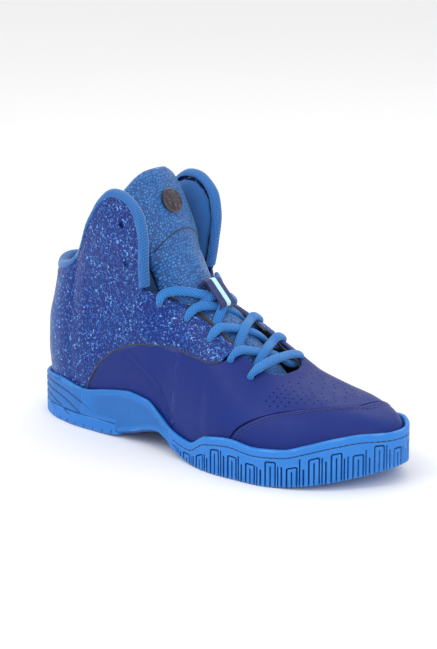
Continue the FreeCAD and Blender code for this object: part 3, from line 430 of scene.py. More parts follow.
# ---------------------------------------------------------------- materials
class Finish:
    """A material whose nodes are added in a line or two each."""

    def __init__(self, name, roughness=0.5, **sockets):
        self.material = bpy.data.materials.new(name)
        self.material.use_nodes = True
        self.tree = self.material.node_tree
        self.shader = self.tree.nodes["Principled BSDF"]
        self.shader.inputs["Roughness"].default_value = roughness
        for word, value in sockets.items():
            self.shader.inputs[word.replace("_", " ")].default_value = value
        self.place = self.add("TexCoord").outputs["Object"]

    def add(self, kind, values=(), **settings):
        """A node with its sockets set or linked by their index, and its properties by name."""
        node = self.tree.nodes.new(f"ShaderNode{kind}")
        for key, value in settings.items():
            setattr(node, key, value)
        for index, value in dict(values).items():
            if isinstance(value, bpy.types.NodeSocket):
                self.tree.links.new(value, node.inputs[index])
            else:
                node.inputs[index].default_value = value
        return node

    def link(self, output, word):
        self.tree.links.new(output, self.shader.inputs[word])

    def math(self, operation, a, b=0.0, clamp=False):
        return self.add("Math", {0: a, 1: b}, operation=operation, use_clamp=clamp).outputs[0]

    def scaled(self, factors):
        mapping = self.add("Mapping", {"Vector": self.place, "Scale": factors})
        return mapping.outputs[0]

    def noise(self, scale, detail=2.0, vector=None, distortion=0.0):
        return self.add("TexNoise", {"Vector": vector or self.place, "Scale": scale,
                                     "Detail": detail, "Distortion": distortion}).outputs["Fac"]

    def cells(self, scale, vector=None, feature="DISTANCE_TO_EDGE", randomness=1.0):
        return self.add("TexVoronoi", {"Vector": vector or self.place, "Scale": scale,
                                       "Randomness": randomness},
                        feature=feature).outputs["Distance"]

    def band(self, value, low, high, out_low=0.0, out_high=1.0):
        """The value's part between low and high, stretched smoothly over out_low to out_high."""
        return self.add("MapRange", {0: value, 1: low, 2: high, 3: out_low, 4: out_high},
                        interpolation_type="SMOOTHSTEP").outputs[0]

    def mix(self, factor, a, b):
        def rgba(c):
            return c if isinstance(c, bpy.types.NodeSocket) else (*c, 1.0)
        node = self.add("Mix", {0: factor, 6: rgba(a), 7: rgba(b)}, data_type="RGBA")
        return node.outputs[2]

    def bump(self, height, distance_mm, strength=1.0, after=None):
        node = self.add("Bump", {"Height": height, "Distance": distance_mm * MM,
                                 "Strength": strength})
        if after:
            self.tree.links.new(after, node.inputs["Normal"])
        return node.outputs[0]

    def wear(self, colour, lighter, amount=0.35):
        """Convex edges rubbed a little lighter."""
        edge = self.band(self.add("NewGeometry").outputs["Pointiness"], 0.505, 0.56)
        patchy = self.math("MULTIPLY", edge, self.band(self.noise(90), 0.35, 0.7))
        return self.mix(self.math("MULTIPLY", patchy, amount), colour, lighter)


NAVY, NAVY_LIGHT = (0.005, 0.018, 0.160), (0.009, 0.027, 0.205)
SKY, SKY_LIGHT, SKY_PAINTED_SHADE = (0.010, 0.165, 0.570), (0.022, 0.215, 0.670), (0.003, 0.035, 0.150)


def leather_bump(finish, strength=0.35):
    """Fine pebble grain over slow ripples."""
    grain = finish.math("ADD", finish.band(finish.cells(950), 0.0, 0.28),
                        finish.math("MULTIPLY", finish.noise(2600), 0.6))
    ripples = finish.bump(finish.noise(42, 3), 0.9, 0.18)
    return finish.bump(grain, 0.09, strength, after=ripples)


def navy_synthetic():
    """Smooth coated synthetic leather with a violet sheen."""
    finish = Finish("navy_synthetic", Coat_Weight=0.03, Coat_Roughness=0.42,
                    Specular_IOR_Level=0.20, Sheen_Weight=0.03, Sheen_Roughness=0.45,
                    Sheen_Tint=(0.50, 0.42, 1.0, 1.0))
    tone = finish.mix(finish.noise(26, 4), NAVY, NAVY_LIGHT)
    finish.link(finish.wear(tone, (0.06, 0.11, 0.42)), "Base Color")
    finish.link(finish.band(finish.noise(130, 5), 0.25, 0.75, 0.38, 0.50), "Roughness")
    finish.link(leather_bump(finish), "Normal")
    return finish.material


def speckled_synthetic():
    """The same coat printed with short pale squiggles, fading to sky blue round the heel."""
    finish = Finish("speckled_synthetic", Coat_Weight=0.03, Specular_IOR_Level=0.20,
                    Coat_Roughness=0.40, Sheen_Weight=0.05, Sheen_Roughness=0.45,
                    Sheen_Tint=(0.55, 0.5, 1.0, 1.0))
    apart = finish.add("SeparateXYZ", {0: finish.place}).outputs
    warp = finish.add("TexNoise", {"Vector": finish.place, "Scale": 260.0, "Detail": 1.0})
    shifted = finish.add("VectorMath", {0: warp.outputs["Color"], 1: (0.0030, 0.0030, 0.0030)},
                         operation="MULTIPLY").outputs[0]
    bent = finish.add("VectorMath", {0: finish.place, 1: shifted}, operation="ADD").outputs[0]

    def squiggles(scale, width, vector):
        line = finish.math("ABSOLUTE", finish.math("SUBTRACT", finish.noise(scale, 0.6, vector), 0.5))
        return finish.band(line, width * 0.45, width, 1.0, 0.0)

    def broken(scale, low, high):
        return finish.band(finish.noise(scale, 0.0), low, high)

    fine = finish.math("MULTIPLY", squiggles(440, 0.050, bent), broken(560, 0.38, 0.44))
    bold = finish.math("MULTIPLY", squiggles(330, 0.036, bent), broken(420, 0.50, 0.56))
    dots = finish.band(finish.cells(470, bent, "F1"), 0.16, 0.24, 1.0, 0.0)
    dots = finish.math("MULTIPLY", dots, broken(240, 0.52, 0.60))
    heel = finish.band(apart[0], -0.108, -0.147)
    under = finish.mix(finish.noise(26, 4), (0.004, 0.016, 0.150), (0.008, 0.028, 0.200))
    under = finish.mix(finish.math("MULTIPLY", heel, 0.75), under, (0.009, 0.095, 0.34))
    pale = finish.mix(finish.band(finish.noise(150, 1), 0.35, 0.65), (0.035, 0.20, 0.60),
                      (0.16, 0.42, 0.85))
    mid = finish.mix(finish.math("MULTIPLY", fine, 0.85), under, (0.018, 0.11, 0.43))
    top = finish.mix(finish.math("MAXIMUM", bold, dots), mid, pale)
    finish.link(top, "Base Color")
    finish.link(finish.band(finish.noise(130, 5), 0.25, 0.75, 0.36, 0.48), "Roughness")
    print_edge = finish.bump(finish.math("MAXIMUM", bold, dots), 0.05, 0.5,
                             after=leather_bump(finish, 0.28))
    finish.link(print_edge, "Normal")
    return finish.material


def sky_rubber(name, tone=SKY, light=SKY_LIGHT, dark=SKY_PAINTED_SHADE):
    """Matte moulded rubber: fine spark-eroded texture, a little dust low down, painted shade in hollows
    and grooves.
    """
    finish = Finish(name, Specular_IOR_Level=0.42)
    apart = finish.add("SeparateXYZ", {0: finish.place}).outputs
    colour = finish.mix(finish.noise(18, 3), tone, light)
    # painted shade: concave places (low pointiness) are darkened towards the shade colour
    hollow = finish.band(finish.add("NewGeometry").outputs["Pointiness"], 0.495, 0.44)
    colour = finish.mix(finish.math("MULTIPLY", hollow, 0.6), colour, dark)
    # painted shade: the stored groove depth darkens the grooves towards the shade colour
    groove = finish.add("Attribute", attribute_name="groove").outputs["Fac"]
    colour = finish.mix(finish.math("MULTIPLY", groove, 0.9), colour, dark)
    low = finish.math("MULTIPLY", finish.band(apart[2], 0.004, 0.0), finish.noise(240, 3))
    colour = finish.mix(finish.math("MULTIPLY", low, 0.45), colour, (0.16, 0.19, 0.22))
    finish.link(finish.wear(colour, (0.12, 0.40, 0.82), 0.5), "Base Color")
    finish.link(finish.band(finish.noise(300, 4), 0.3, 0.7, 0.46, 0.62), "Roughness")
    skin = finish.bump(finish.noise(1900, 2), 0.05, 0.5,
                       after=finish.bump(finish.noise(60, 2), 0.35, 0.15))
    finish.link(skin, "Normal")
    return finish.material


def sky_synthetic():
    """The heel strip's smooth coated synthetic."""
    finish = Finish("sky_synthetic", Coat_Weight=0.15, Coat_Roughness=0.4, Sheen_Weight=0.15)
    finish.link(finish.wear(finish.mix(finish.noise(30, 4), (0.012, 0.16, 0.52), (0.03, 0.24, 0.66)),
                            (0.15, 0.45, 0.85)), "Base Color")
    finish.link(finish.band(finish.noise(130, 5), 0.25, 0.75, 0.36, 0.48), "Roughness")
    finish.link(leather_bump(finish), "Normal")
    return finish.material


def scaled_mesh():
    """Tongue cloth: an embossed net of lens-shaped scales over knit."""
    finish = Finish("scaled_mesh", Sheen_Weight=0.25, Sheen_Roughness=0.4,
                    Sheen_Tint=(0.6, 0.85, 1.0, 1.0), Coat_Weight=0.18, Coat_Roughness=0.35)
    apart = finish.add("SeparateXYZ", {0: finish.place}).outputs
    # scales lie across the tongue (y) and along it (mostly z); x only shifts them a little
    along = finish.math("SUBTRACT", apart[2], finish.math("MULTIPLY", apart[0], 0.55))
    across_width = finish.math("MULTIPLY", apart[1], 1.55)
    flat = finish.add("CombineXYZ", {0: across_width, 1: along, 2: 0.0}).outputs[0]
    edge = finish.cells(400, flat, randomness=0.62)
    scale = finish.band(edge, 0.03, 0.24)
    knit = finish.noise(1700, 2)
    # painted shade: the scales' borders, the embossed crevices, are darker than their faces
    colour = finish.mix(scale, (0.004, 0.060, 0.25), (0.014, 0.190, 0.56))
    # painted highlight: noise-placed glints on the scales, mixed towards a pale blue
    painted_glint = finish.math("MULTIPLY", finish.band(finish.noise(520, 2), 0.55, 0.75), scale)
    finish.link(finish.mix(finish.math("MULTIPLY", painted_glint, 0.55), colour, (0.06, 0.30, 0.66)),
                "Base Color")
    finish.link(finish.band(scale, 0.0, 1.0, 0.62, 0.34), "Roughness")
    finish.link(finish.bump(scale, 0.45, 0.85, after=finish.bump(knit, 0.08, 0.4)), "Normal")
    return finish.material


def knit(name, low, high, scale=900.0, roughness=0.85, sheen=0.4, depth=0.25):
    """Fine ribbed knit: two sets of crossing loops."""
    finish = Finish(name, roughness, Sheen_Weight=sheen, Sheen_Roughness=0.5)
    apart = finish.add("SeparateXYZ", {0: finish.place}).outputs
    ribs = finish.math("SINE", finish.math("MULTIPLY", finish.math("ADD", apart[0], apart[1]),
                                           scale * 4.4))
    courses = finish.math("SINE", finish.math("MULTIPLY", apart[2], scale * 5.2))
    loops = finish.math("ADD", finish.math("MULTIPLY", ribs, courses), 1.0)
    fuzz = finish.noise(scale * 2.2, 3)
    height = finish.math("ADD", finish.math("MULTIPLY", loops, 0.5), finish.math("MULTIPLY", fuzz, 0.7))
    finish.link(finish.mix(finish.band(height, 0.3, 1.4), low, high), "Base Color")
    finish.link(finish.bump(height, depth, 0.55), "Normal")
    return finish.material


def braid():
    """Lace cloth: crossing yarns that follow the lace, from its own along and round values."""
    finish = Finish("lace_braid", 0.72, Sheen_Weight=0.35, Sheen_Roughness=0.45,
                    Sheen_Tint=(0.7, 0.88, 1.0, 1.0))
    along = finish.add("Attribute", attribute_name="along").outputs["Fac"]
    round_it = finish.add("Attribute", attribute_name="round").outputs["Fac"]
    spin = finish.math("MULTIPLY", round_it, 9.0 * math.pi)
    travel = finish.math("MULTIPLY", along, 2600.0)
    one = finish.math("SINE", finish.math("ADD", travel, spin))
    other = finish.math("SINE", finish.math("SUBTRACT", travel, spin))
    yarns = finish.math("MAXIMUM", one, other)
    fuzz = finish.noise(2400, 3)
    height = finish.math("ADD", yarns, finish.math("MULTIPLY", fuzz, 0.5))
    colour = finish.mix(finish.band(height, -0.2, 1.3), (0.005, 0.085, 0.33), (0.013, 0.21, 0.64))
    finish.link(finish.mix(finish.band(finish.noise(70, 2), 0.4, 0.75, 0.0, 0.3), colour,
                           (0.025, 0.25, 0.64)), "Base Color")
    finish.link(finish.bump(height, 0.28, 0.7), "Normal")
    return finish.material


def thread(name, low, high):
    finish = Finish(name, 0.6, Sheen_Weight=0.3)
    finish.link(finish.mix(finish.noise(3000, 2), low, high), "Base Color")
    finish.link(finish.bump(finish.noise(4200, 1), 0.06, 0.6), "Normal")
    return finish.material


def tape(name, low, high, scale=1500.0):
    """Woven tape: ribs across it."""
    finish = Finish(name, 0.7, Sheen_Weight=0.4, Sheen_Roughness=0.4)
    apart = finish.add("SeparateXYZ", {0: finish.place}).outputs
    ribs = finish.math("SINE", finish.math("MULTIPLY", finish.math("SUBTRACT", apart[2], apart[0]),
                                           scale * 2.6))
    yarns = finish.math("SINE", finish.math("MULTIPLY", apart[1], scale * 4.5))
    height = finish.math("ADD", ribs, finish.math("MULTIPLY", yarns, 0.5))
    finish.link(finish.mix(finish.band(height, -1.2, 1.2), low, high), "Base Color")
    finish.link(finish.bump(height, 0.14, 0.6), "Normal")
    return finish.material


def reflective_film():
    """Pale film over tiny glass beads in a honeycomb."""
    finish = Finish("reflective_film", Coat_Weight=0.5, Coat_Roughness=0.15)
    net = finish.band(finish.cells(900, randomness=0.1), 0.02, 0.10)
    finish.link(finish.mix(net, (0.20, 0.62, 0.80), (0.62, 0.93, 1.0)), "Base Color")
    finish.link(finish.band(finish.noise(400), 0.3, 0.7, 0.22, 0.40), "Roughness")
    finish.link(finish.bump(net, 0.06, 0.5), "Normal")
    return finish.material


def dark_metal():
    """Smoked chrome badge, finely brushed and scuffed."""
    finish = Finish("dark_metal", Metallic=0.85, Coat_Weight=0.35, Coat_Roughness=0.18)
    brushed = finish.noise(1.0, 3, finish.scaled((400, 5200, 400)))
    finish.link(finish.wear(finish.mix(brushed, (0.020, 0.016, 0.024), (0.085, 0.070, 0.080)),
                            (0.45, 0.42, 0.42), 0.6), "Base Color")
    finish.link(finish.band(finish.noise(260, 4), 0.3, 0.7, 0.24, 0.46), "Roughness")
    finish.link(finish.bump(brushed, 0.03, 0.5), "Normal")
    return finish.material


def plastic(name, low, high, roughness_low, roughness_high, bump_mm=0.05, scale=900):
    """Moulded or fibrous sheet with a light grain."""
    finish = Finish(name)
    finish.link(finish.mix(finish.noise(60, 4), low, high), "Base Color")
    finish.link(finish.band(finish.noise(200, 4), 0.3, 0.7, roughness_low, roughness_high),
                "Roughness")
    finish.link(finish.bump(finish.noise(scale, 3), bump_mm, 0.5), "Normal")
    return finish.material


navy = navy_synthetic()
speckled = speckled_synthetic()
rubber = sky_rubber("sky_rubber")
foam_rubber = sky_rubber("foam_rubber", (0.009, 0.145, 0.500), (0.018, 0.190, 0.600))
heel_rubber = sky_rubber("heel_rubber", (0.008, 0.125, 0.440), (0.016, 0.170, 0.540))
heel_synthetic = sky_synthetic()
tongue_cloth = scaled_mesh()
collar_cloth = knit("collar_cloth", (0.006, 0.075, 0.28), (0.014, 0.15, 0.44), depth=0.18)
dark_knit = knit("dark_knit", (0.002, 0.003, 0.010), (0.008, 0.011, 0.030))
sock_cloth = knit("sock_cloth", (0.004, 0.012, 0.07), (0.014, 0.04, 0.20), scale=700.0)
lace_cloth = braid()
navy_tape = tape("navy_tape", (0.003, 0.008, 0.06), (0.014, 0.035, 0.22))
sky_tape = tape("sky_tape", (0.007, 0.09, 0.32), (0.018, 0.17, 0.50), scale=1100.0)
film = reflective_film()
badge_metal = dark_metal()
navy_thread = thread("navy_thread", (0.004, 0.010, 0.08), (0.014, 0.03, 0.18))
dark_thread = thread("dark_thread", (0.001, 0.004, 0.028), (0.006, 0.014, 0.075))
sky_thread = thread("sky_thread", (0.012, 0.16, 0.50), (0.04, 0.30, 0.78))
CAD_FINISHES = {
    "shank_plate": plastic("shank_plastic", (0.010, 0.08, 0.33), (0.02, 0.13, 0.45), 0.30, 0.45),
    "toe_puff": plastic("puff_sheet", (0.60, 0.58, 0.52), (0.74, 0.72, 0.66), 0.6, 0.8),
    "heel_counter": plastic("counter_sheet", (0.58, 0.56, 0.50), (0.72, 0.70, 0.64), 0.6, 0.8),
    "insole_board": plastic("fibre_board", (0.55, 0.50, 0.40), (0.72, 0.67, 0.56), 0.7, 0.9,
                            0.12, 500),
    "vamp_lining": dark_knit,
    "eyestay_backing_lateral": dark_knit,
    "eyestay_backing_medial": dark_knit,
    "side_lining_lateral": dark_knit,
    "side_lining_medial": dark_knit,
    "tongue_lining": dark_knit,
    "aglet_lateral": plastic("aglet_film", (0.35, 0.60, 0.80), (0.50, 0.74, 0.90), 0.15, 0.3, 0.02),
    "aglet_medial": plastic("aglet_film_medial", (0.35, 0.60, 0.80), (0.50, 0.74, 0.90), 0.15, 0.3,
                            0.02),
}
for node_name, finish_material in CAD_FINISHES.items():
    cad_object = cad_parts[node_name]
    cad_object.data.materials.clear()
    cad_object.data.materials.append(finish_material)

# ---------------------------------------------------------------- camera, floor and light
AIM = Vector((0.002, 0.0, 0.086))
CAMERA_PLACE = Vector((1.0176, -1.2434, 0.5573))
LENS_MM = 133.0


def point_at(obj, place, target):
    obj.location = place
    obj.rotation_euler = (Vector(target) - Vector(place)).to_track_quat("-Z", "Y").to_euler()


camera_data = bpy.data.cameras.new("camera")
camera_data.lens = LENS_MM
camera_data.sensor_width = 36.0
camera = bpy.data.objects.new("camera", camera_data)
bpy.context.scene.collection.objects.link(camera)
point_at(camera, CAMERA_PLACE, AIM)
bpy.context.scene.camera = camera


def area_light(name, place, target, size, energy):
    data = bpy.data.lights.new(name, "AREA")
    data.shape = "RECTANGLE"
    data.size, data.size_y = size
    data.energy = energy
    light = bpy.data.objects.new(name, data)
    bpy.context.scene.collection.objects.link(light)
    point_at(light, place, target)


LIGHTS = [("key_softbox", (-0.35, -0.75, 1.05), (0, 0, 0.08), (0.9, 0.7), 4.6),
          ("front_softbox", (1.15, -0.45, 0.75), (0.05, 0, 0.08), (0.8, 0.8), 3.2),
          ("back_strip", (-0.2, 1.0, 0.95), (0, 0, 0.08), (1.2, 0.4), 1.6),
          ("overhead", (0.05, 0.0, 1.3), (0, 0, 0.05), (1.1, 0.9), 1.6)]
for light_row in LIGHTS:
    area_light(*light_row)


def pale_floor():
    finish = Finish("pale_floor", 0.75)
    finish.link(finish.mix(finish.noise(3, 2), (0.93, 0.93, 0.935), (0.95, 0.95, 0.95)), "Base Color")
    mesh = bpy.data.meshes.new("floor")
    reach = 6.0
    mesh.from_pydata([(-reach, -reach, 0), (reach, -reach, 0), (reach, reach, 0),
                      (-reach, reach, 0)], [], [(0, 1, 2, 3)])
    mesh.materials.append(finish.material)
    floor = bpy.data.objects.new("floor", mesh)
    bpy.context.scene.collection.objects.link(floor)


pale_floor()
world = bpy.data.worlds.new("studio")
world.use_nodes = True
world.node_tree.nodes["Background"].inputs["Color"].default_value = (1.0, 1.0, 1.0, 1.0)
world.node_tree.nodes["Background"].inputs["Strength"].default_value = 0.9
bpy.context.scene.world = world
bpy.context.scene.view_settings.view_transform = "Standard"

# ---------------------------------------------------------------- sole
FOREFOOT_START, HEEL_POD_END, HEEL_CUP_END = 147.0, 92.0, 58.0
POD_HEIGHT, SOLE_WALL = 10.0, 3.3


def ring_stations(start, end, spacing, at_heel=False):
    """Side, station and run of points round the toe, or round the heel, between two cuts."""
    fine = LENGTH / 2 * (1 - np.cos(np.linspace(0, math.pi, 3000)))
    fine = np.unique(np.concatenate([[start], fine[(fine > start) & (fine < end)], [end]]))
    first, second = (fine[::-1], fine) if at_heel else (fine, fine[::-1])
    side = np.concatenate([np.full(len(first), LATERAL), np.full(len(second) - 1, MEDIAL)])
    station = np.concatenate([first, second[1:]])
    x, y = ring_point(side, station, 0.0)
    runs = path_lengths(np.stack([x, y], axis=1))
    at = np.linspace(0, runs[-1], int(runs[-1] / spacing) + 1)
    pick = np.searchsorted(runs, at).clip(0, len(runs) - 1)
    return side[pick], station[pick], runs[pick]


def ring_solid(name, stations, profile, material, groove_shade_full=1.1):
    """A closed band round the outline from loops of (inset, z) rows, one column per station."""
    side, station, run = stations
    inset, z = profile(station, run)
    x, y = ring_point(side[None, :], station[None, :], inset)
    sections = np.swapaxes(np.stack([x, y, z], axis=-1), 0, 1)
    ring = loop_sweep(name, sections, SHOE, material)
    # depth into the moulded grooves, stored as the groove attribute that drives the rubber's painted
    # shade
    outside = (inset < SOLE_WALL - 0.1) & (z < sole_top(station) - 1.3)
    groove = np.where(outside & (z > sole_bottom(station) + 0.9), smooth_step(inset / groove_shade_full), 0.0)
    groove_shade = ring.data.attributes.new("groove", "FLOAT", "POINT")
    groove_shade.data.foreach_set("value", groove.ravel().astype(np.float32))
    return ring


def rows(*pairs):
    """Stack (inset, z) rows, each a number or an array over the stations."""
    count = max(np.size(v) for pair in pairs for v in pair)
    inset = np.array([np.broadcast_to(i, count) for i, z in pairs], float)
    height = np.array([np.broadcast_to(z, count) for i, z in pairs], float)
    return inset, height


def lip(top, inner=SOLE_WALL):
    """Rounded top edge of a sole wall, from inside to outside."""
    return [(inner, top - 1.0), (inner - 0.3, top - 0.3), (inner - 1.0, top), (1.0, top),
            (0.35, top - 0.25), (0.06, top - 0.7)]


def outer_rows(low, high, count, relief):
    """Rows down the outer face between two heights, pushed in by relief(z)."""
    return [(relief(z), z) for z in (blend(high, low, i / (count - 1)) for i in range(count))]


def capsule(u, h, centre, top):
    """Distance from an upright bar with a round top that starts below the sole."""
    return np.hypot(u - centre, np.maximum(h - top, 0.0))


def arch_outline(u, h, centre, half, top, corner=1.3):
    """Distance from the outline of an upright arch open at its foot."""
    dx = np.abs(u - centre) - (half - corner)
    dh = h - (top - corner)
    outside = np.hypot(np.maximum(dx, 0), np.maximum(dh, 0))
    return np.abs(outside + np.minimum(np.maximum(dx, dh), 0.0) - corner)


COMB_PITCH, STITCH_LINE = 15.0, 5.4


def groove_depth(distance, width=0.72, depth=1.15):
    return depth * smooth_step((width - distance) / (width * 0.75))


def comb_relief(run, h, height):
    """Depth of the comb of arches and bars moulded into the forefoot's side wall."""
    module = np.floor(run / COMB_PITCH)
    u = run - module * COMB_PITCH
    room = np.maximum(height - STITCH_LINE - 2.6, 4.0)
    tall = room * (0.86 + 0.13 * np.sin(module * 2.4))
    short = room * (0.84 + 0.14 * np.sin(module * 1.7 + 2.0))
    marks = [arch_outline(u, h, 4.9, 3.5, tall), capsule(u, h, 4.9, tall - 3.4),
             capsule(u, h, 10.3, short), capsule(u, h, 12.8, tall * 0.8)]
    return groove_depth(np.minimum.reduce(marks))


def forefoot_profile(station, run):
    top, low = sole_top(station), sole_bottom(station)
    height = top - low
    start = smooth_step((station - FOREFOOT_START - 2) / 4)

    def relief(z):
        line = 0.6 * bump(z - (top - STITCH_LINE), 0.42)
        return start * np.maximum(comb_relief(run, z - low, height), line)

    foot = start * comb_relief(run, 0.0, height)
    wall_rows = outer_rows(low + 1.4, top - 1.2, 52, relief)
    floor = footbed(station) - 4
    return rows((SOLE_WALL, floor), *lip(top), *wall_rows, (0.15 + foot, low + 0.8),
                (0.55 + foot, low + 0.3), (1.4 + foot, low), (3.5, low), (9.6, low),
                (9.6, low + 2.0))


FLOW_LINES = [[(-3, 27.5), (20, 27.0), (42, 24.5), (60, 18.5), (76, 10.5)],
              [(-3, 22.6), (18, 21.6), (38, 18.6), (54, 12.6), (66, 6.0)],
              [(-3, 17.8), (15, 16.4), (32, 12.6), (46, 6.4), (54, 2.0)],
              [(-3, 13.0), (10, 11.8), (24, 8.2), (34, 3.0)]]


def flow_relief(station, z):
    """Flow lines that sweep down and forward round the heel."""
    depth = np.zeros(np.broadcast(station, z).shape)
    for table in FLOW_LINES:
        end = table[-1][0]
        fade = smooth_step((end - station) / 16)
        slope = (curve(table, station + 1) - curve(table, station - 1)) / 2
        distance = np.abs(z - curve(table, station)) / np.sqrt(1 + slope ** 2)
        depth = np.maximum(depth, fade * (0.95 * bump(distance, 0.75)))
    return depth


def midsole_profile(station, _run):
    top = sole_top(station)
    low = blend(POD_HEIGHT + 0.1, sole_bottom(station) + 2.25,
                smooth_step((station - HEEL_POD_END) / 1.2))
    behind_cup = 1 - smooth_step((station - HEEL_CUP_END + 0.6) / 0.6)
    arch = smooth_step((station - HEEL_CUP_END - 4) / 14) * smooth_step((146 - station) / 12)

    def relief(z):
        band = smooth_step((top - 5.0 - z) / 2.2) * smooth_step((z - low - 1.0) / 3.5)
        crease = 0.7 * bump(z - (top - 5.3), 0.5)
        cup = 2.55 * behind_cup * smooth_step((top - 1.9 - z) / 0.4) * smooth_step((z - 10.6) / 0.4)
        return arch * (1.25 * band + crease) + cup + (1 - behind_cup) * flow_relief(station, z)

    wall_rows = outer_rows(low + 1.2, top - 1.2, 46, relief)
    return rows((SOLE_WALL, footbed(station) + 0.2), *lip(top), *wall_rows, (0.25, low + 0.5),
                (1.1, low), (14.0, low), (14.0, footbed(station)))


def heel_cup_profile(station, _run):
    top, low = sole_top(station) - 2.0, POD_HEIGHT + 1.0
    wall_rows = outer_rows(low + 0.6, top - 0.6, 36, lambda z: flow_relief(station, z))
    return rows((2.35, low), (2.35, top), (0.7, top), (0.15, top - 0.25), *wall_rows,
                (0.15, low + 0.25), (0.7, low))


def pod_profile(station, run):
    low = sole_bottom(station)
    notch = run - np.floor(run / 9.0) * 9.0

    def relief(z):
        notches = groove_depth(capsule(notch, z - low, 4.5, 2.6), 0.8, 0.9)
        return np.maximum(flow_relief(station, z), notches)

    wall_rows = outer_rows(low + 1.2, POD_HEIGHT - 0.4, 20, relief)
    return rows((10.0, POD_HEIGHT), (0.5, POD_HEIGHT), *wall_rows, (0.2, low + 0.6),
                (0.9, low), (10.0, low))


def tread_pad(name, start, end, inset, spacing, material, slot):
    """The ground face inside the outsole's rim, with herringbone grooves."""
    x = np.linspace(start, end, int((end - start) / spacing))[None, :]
    f = np.linspace(0, 1, 74)[:, None]
    near, far = outline_point(LATERAL, x, inset), outline_point(MEDIAL, x, inset)
    y = blend(near, far, f)
    x = x * np.ones_like(f)
    pitch = 6.4
    fold = np.abs((y / 17.0) % 2 - 1) * 8.5
    phase = (x + fold) % pitch
    groove = smooth_step((0.95 - np.abs(phase - pitch / 2)) / 0.45)
    ring = smooth_step(np.minimum(f, 1 - f) * 74 / 3)
    low = sole_bottom(x)
    outer = np.stack([x, y, low + 1.5 * groove * ring], axis=-1)
    inner = np.stack([x, y, low + 2.6], axis=-1)
    return slab(name, outer, inner, SHOE, material, slot, edge=0.3)


forefoot = ring_solid("outsole_forefoot_rim", ring_stations(FOREFOOT_START, LENGTH, 0.6),
                      forefoot_profile, rubber)
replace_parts(forefoot, "outsole_forefoot")
rim_side, rim_station, _ = ring_stations(150.0, LENGTH, 0.8)
rim = np.stack([*ring_point(rim_side, rim_station, 0.45),
                sole_top(rim_station) - STITCH_LINE], axis=1)
tread_pad("outsole_forefoot_tread", 152.0, 289.0, 10.2, 0.9, rubber, "rubber_sole")
pod = ring_solid("outsole_heel_rim", ring_stations(0.0, HEEL_POD_END, 0.8, True), pod_profile,
                 rubber)
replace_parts(pod, "outsole_heel")
tread_pad("outsole_heel_tread", 12.0, 88.0, 10.6, 0.9, rubber, "rubber_sole")
midsole = ring_solid("midsole_wall", ring_stations(0.0, FOREFOOT_START - 0.1, 0.8, True),
                     midsole_profile, foam_rubber, groove_shade_full=4.0)
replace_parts(midsole, "midsole")
cup = ring_solid("heel_cup_band", ring_stations(0.0, HEEL_CUP_END, 0.8, True), heel_cup_profile,
                 heel_rubber)
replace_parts(cup, "heel_cup")

# ---------------------------------------------------------------- stitches and cords on the upper
def stitches(name, path, material, body=SHOE, stitch=2.5, pitch=3.5, radius=0.36):
    """A row of thread stitches: short plump ellipsoids that follow a path."""
    runs = path_lengths(path)
    count = int(runs[-1] / pitch)
    around, along = 7, 6
    vertices, faces = [], []
    for i in range(count):
        middle = (i + 0.5) * pitch
        ends = [np.array([np.interp(middle + d, runs, path[:, k]) for k in range(3)])
                for d in (-stitch / 2, stitch / 2)]
        axis = ends[1] - ends[0]
        centre, half = (ends[0] + ends[1]) / 2, axis / 2
        axis = axis / np.linalg.norm(axis)
        first = np.cross(axis, (0.31, 0.17, 0.93))
        first = first / np.linalg.norm(first)
        second = np.cross(axis, first)
        base = len(vertices)
        vertices.append(centre - half)
        for a in range(1, along):
            t = -math.cos(math.pi * a / along)
            girth = radius * math.sin(math.pi * a / along) ** 0.6
            for b in range(around):
                turn = 2 * math.pi * b / around
                vertices.append(centre + half * t
                                + (first * math.cos(turn) + second * math.sin(turn)) * girth)
        vertices.append(centre + half)
        last = len(vertices) - 1
        for b in range(around):
            c = (b + 1) % around
            faces.append((base, base + 1 + b, base + 1 + c))
            for a in range(along - 2):
                here = base + 1 + a * around
                faces.append((here + b, here + around + b, here + around + c, here + c))
            faces.append((last, last - around + c, last - around + b))
    return new_object(name, vertices, faces, body, material)


stitches("rim_stitches", rim, dark_thread, stitch=3.1, pitch=4.4, radius=0.4)


def round_cord(name, path, radius, material, body=SHOE, sides=10):
    """A closed round cord that follows a path."""
    tangents = np.gradient(path, axis=0)
    tangents = tangents / np.linalg.norm(tangents, axis=1)[:, None]
    first = np.cross(tangents, (0.0, 0.0, 1.0))
    first = first / np.linalg.norm(first, axis=1)[:, None]
    second = np.cross(tangents, first)
    turn = np.linspace(0, 2 * math.pi, sides, endpoint=False)[None, :, None]
    sections = path[:, None] + radius * (first[:, None] * np.cos(turn)
                                         + second[:, None] * np.sin(turn))
    return loop_sweep(name, sections, body, material)


def offset_line(points, distance, spacing=1.2):
    """Points beside a smooth line in a panel's own two coordinates, to its left for +distance."""
    fine = through(points, spacing)
    tangent = np.gradient(fine, axis=0)
    tangent = tangent / np.linalg.norm(tangent, axis=1)[:, None]
    return fine + np.stack([-tangent[:, 1], tangent[:, 0]], axis=1) * distance


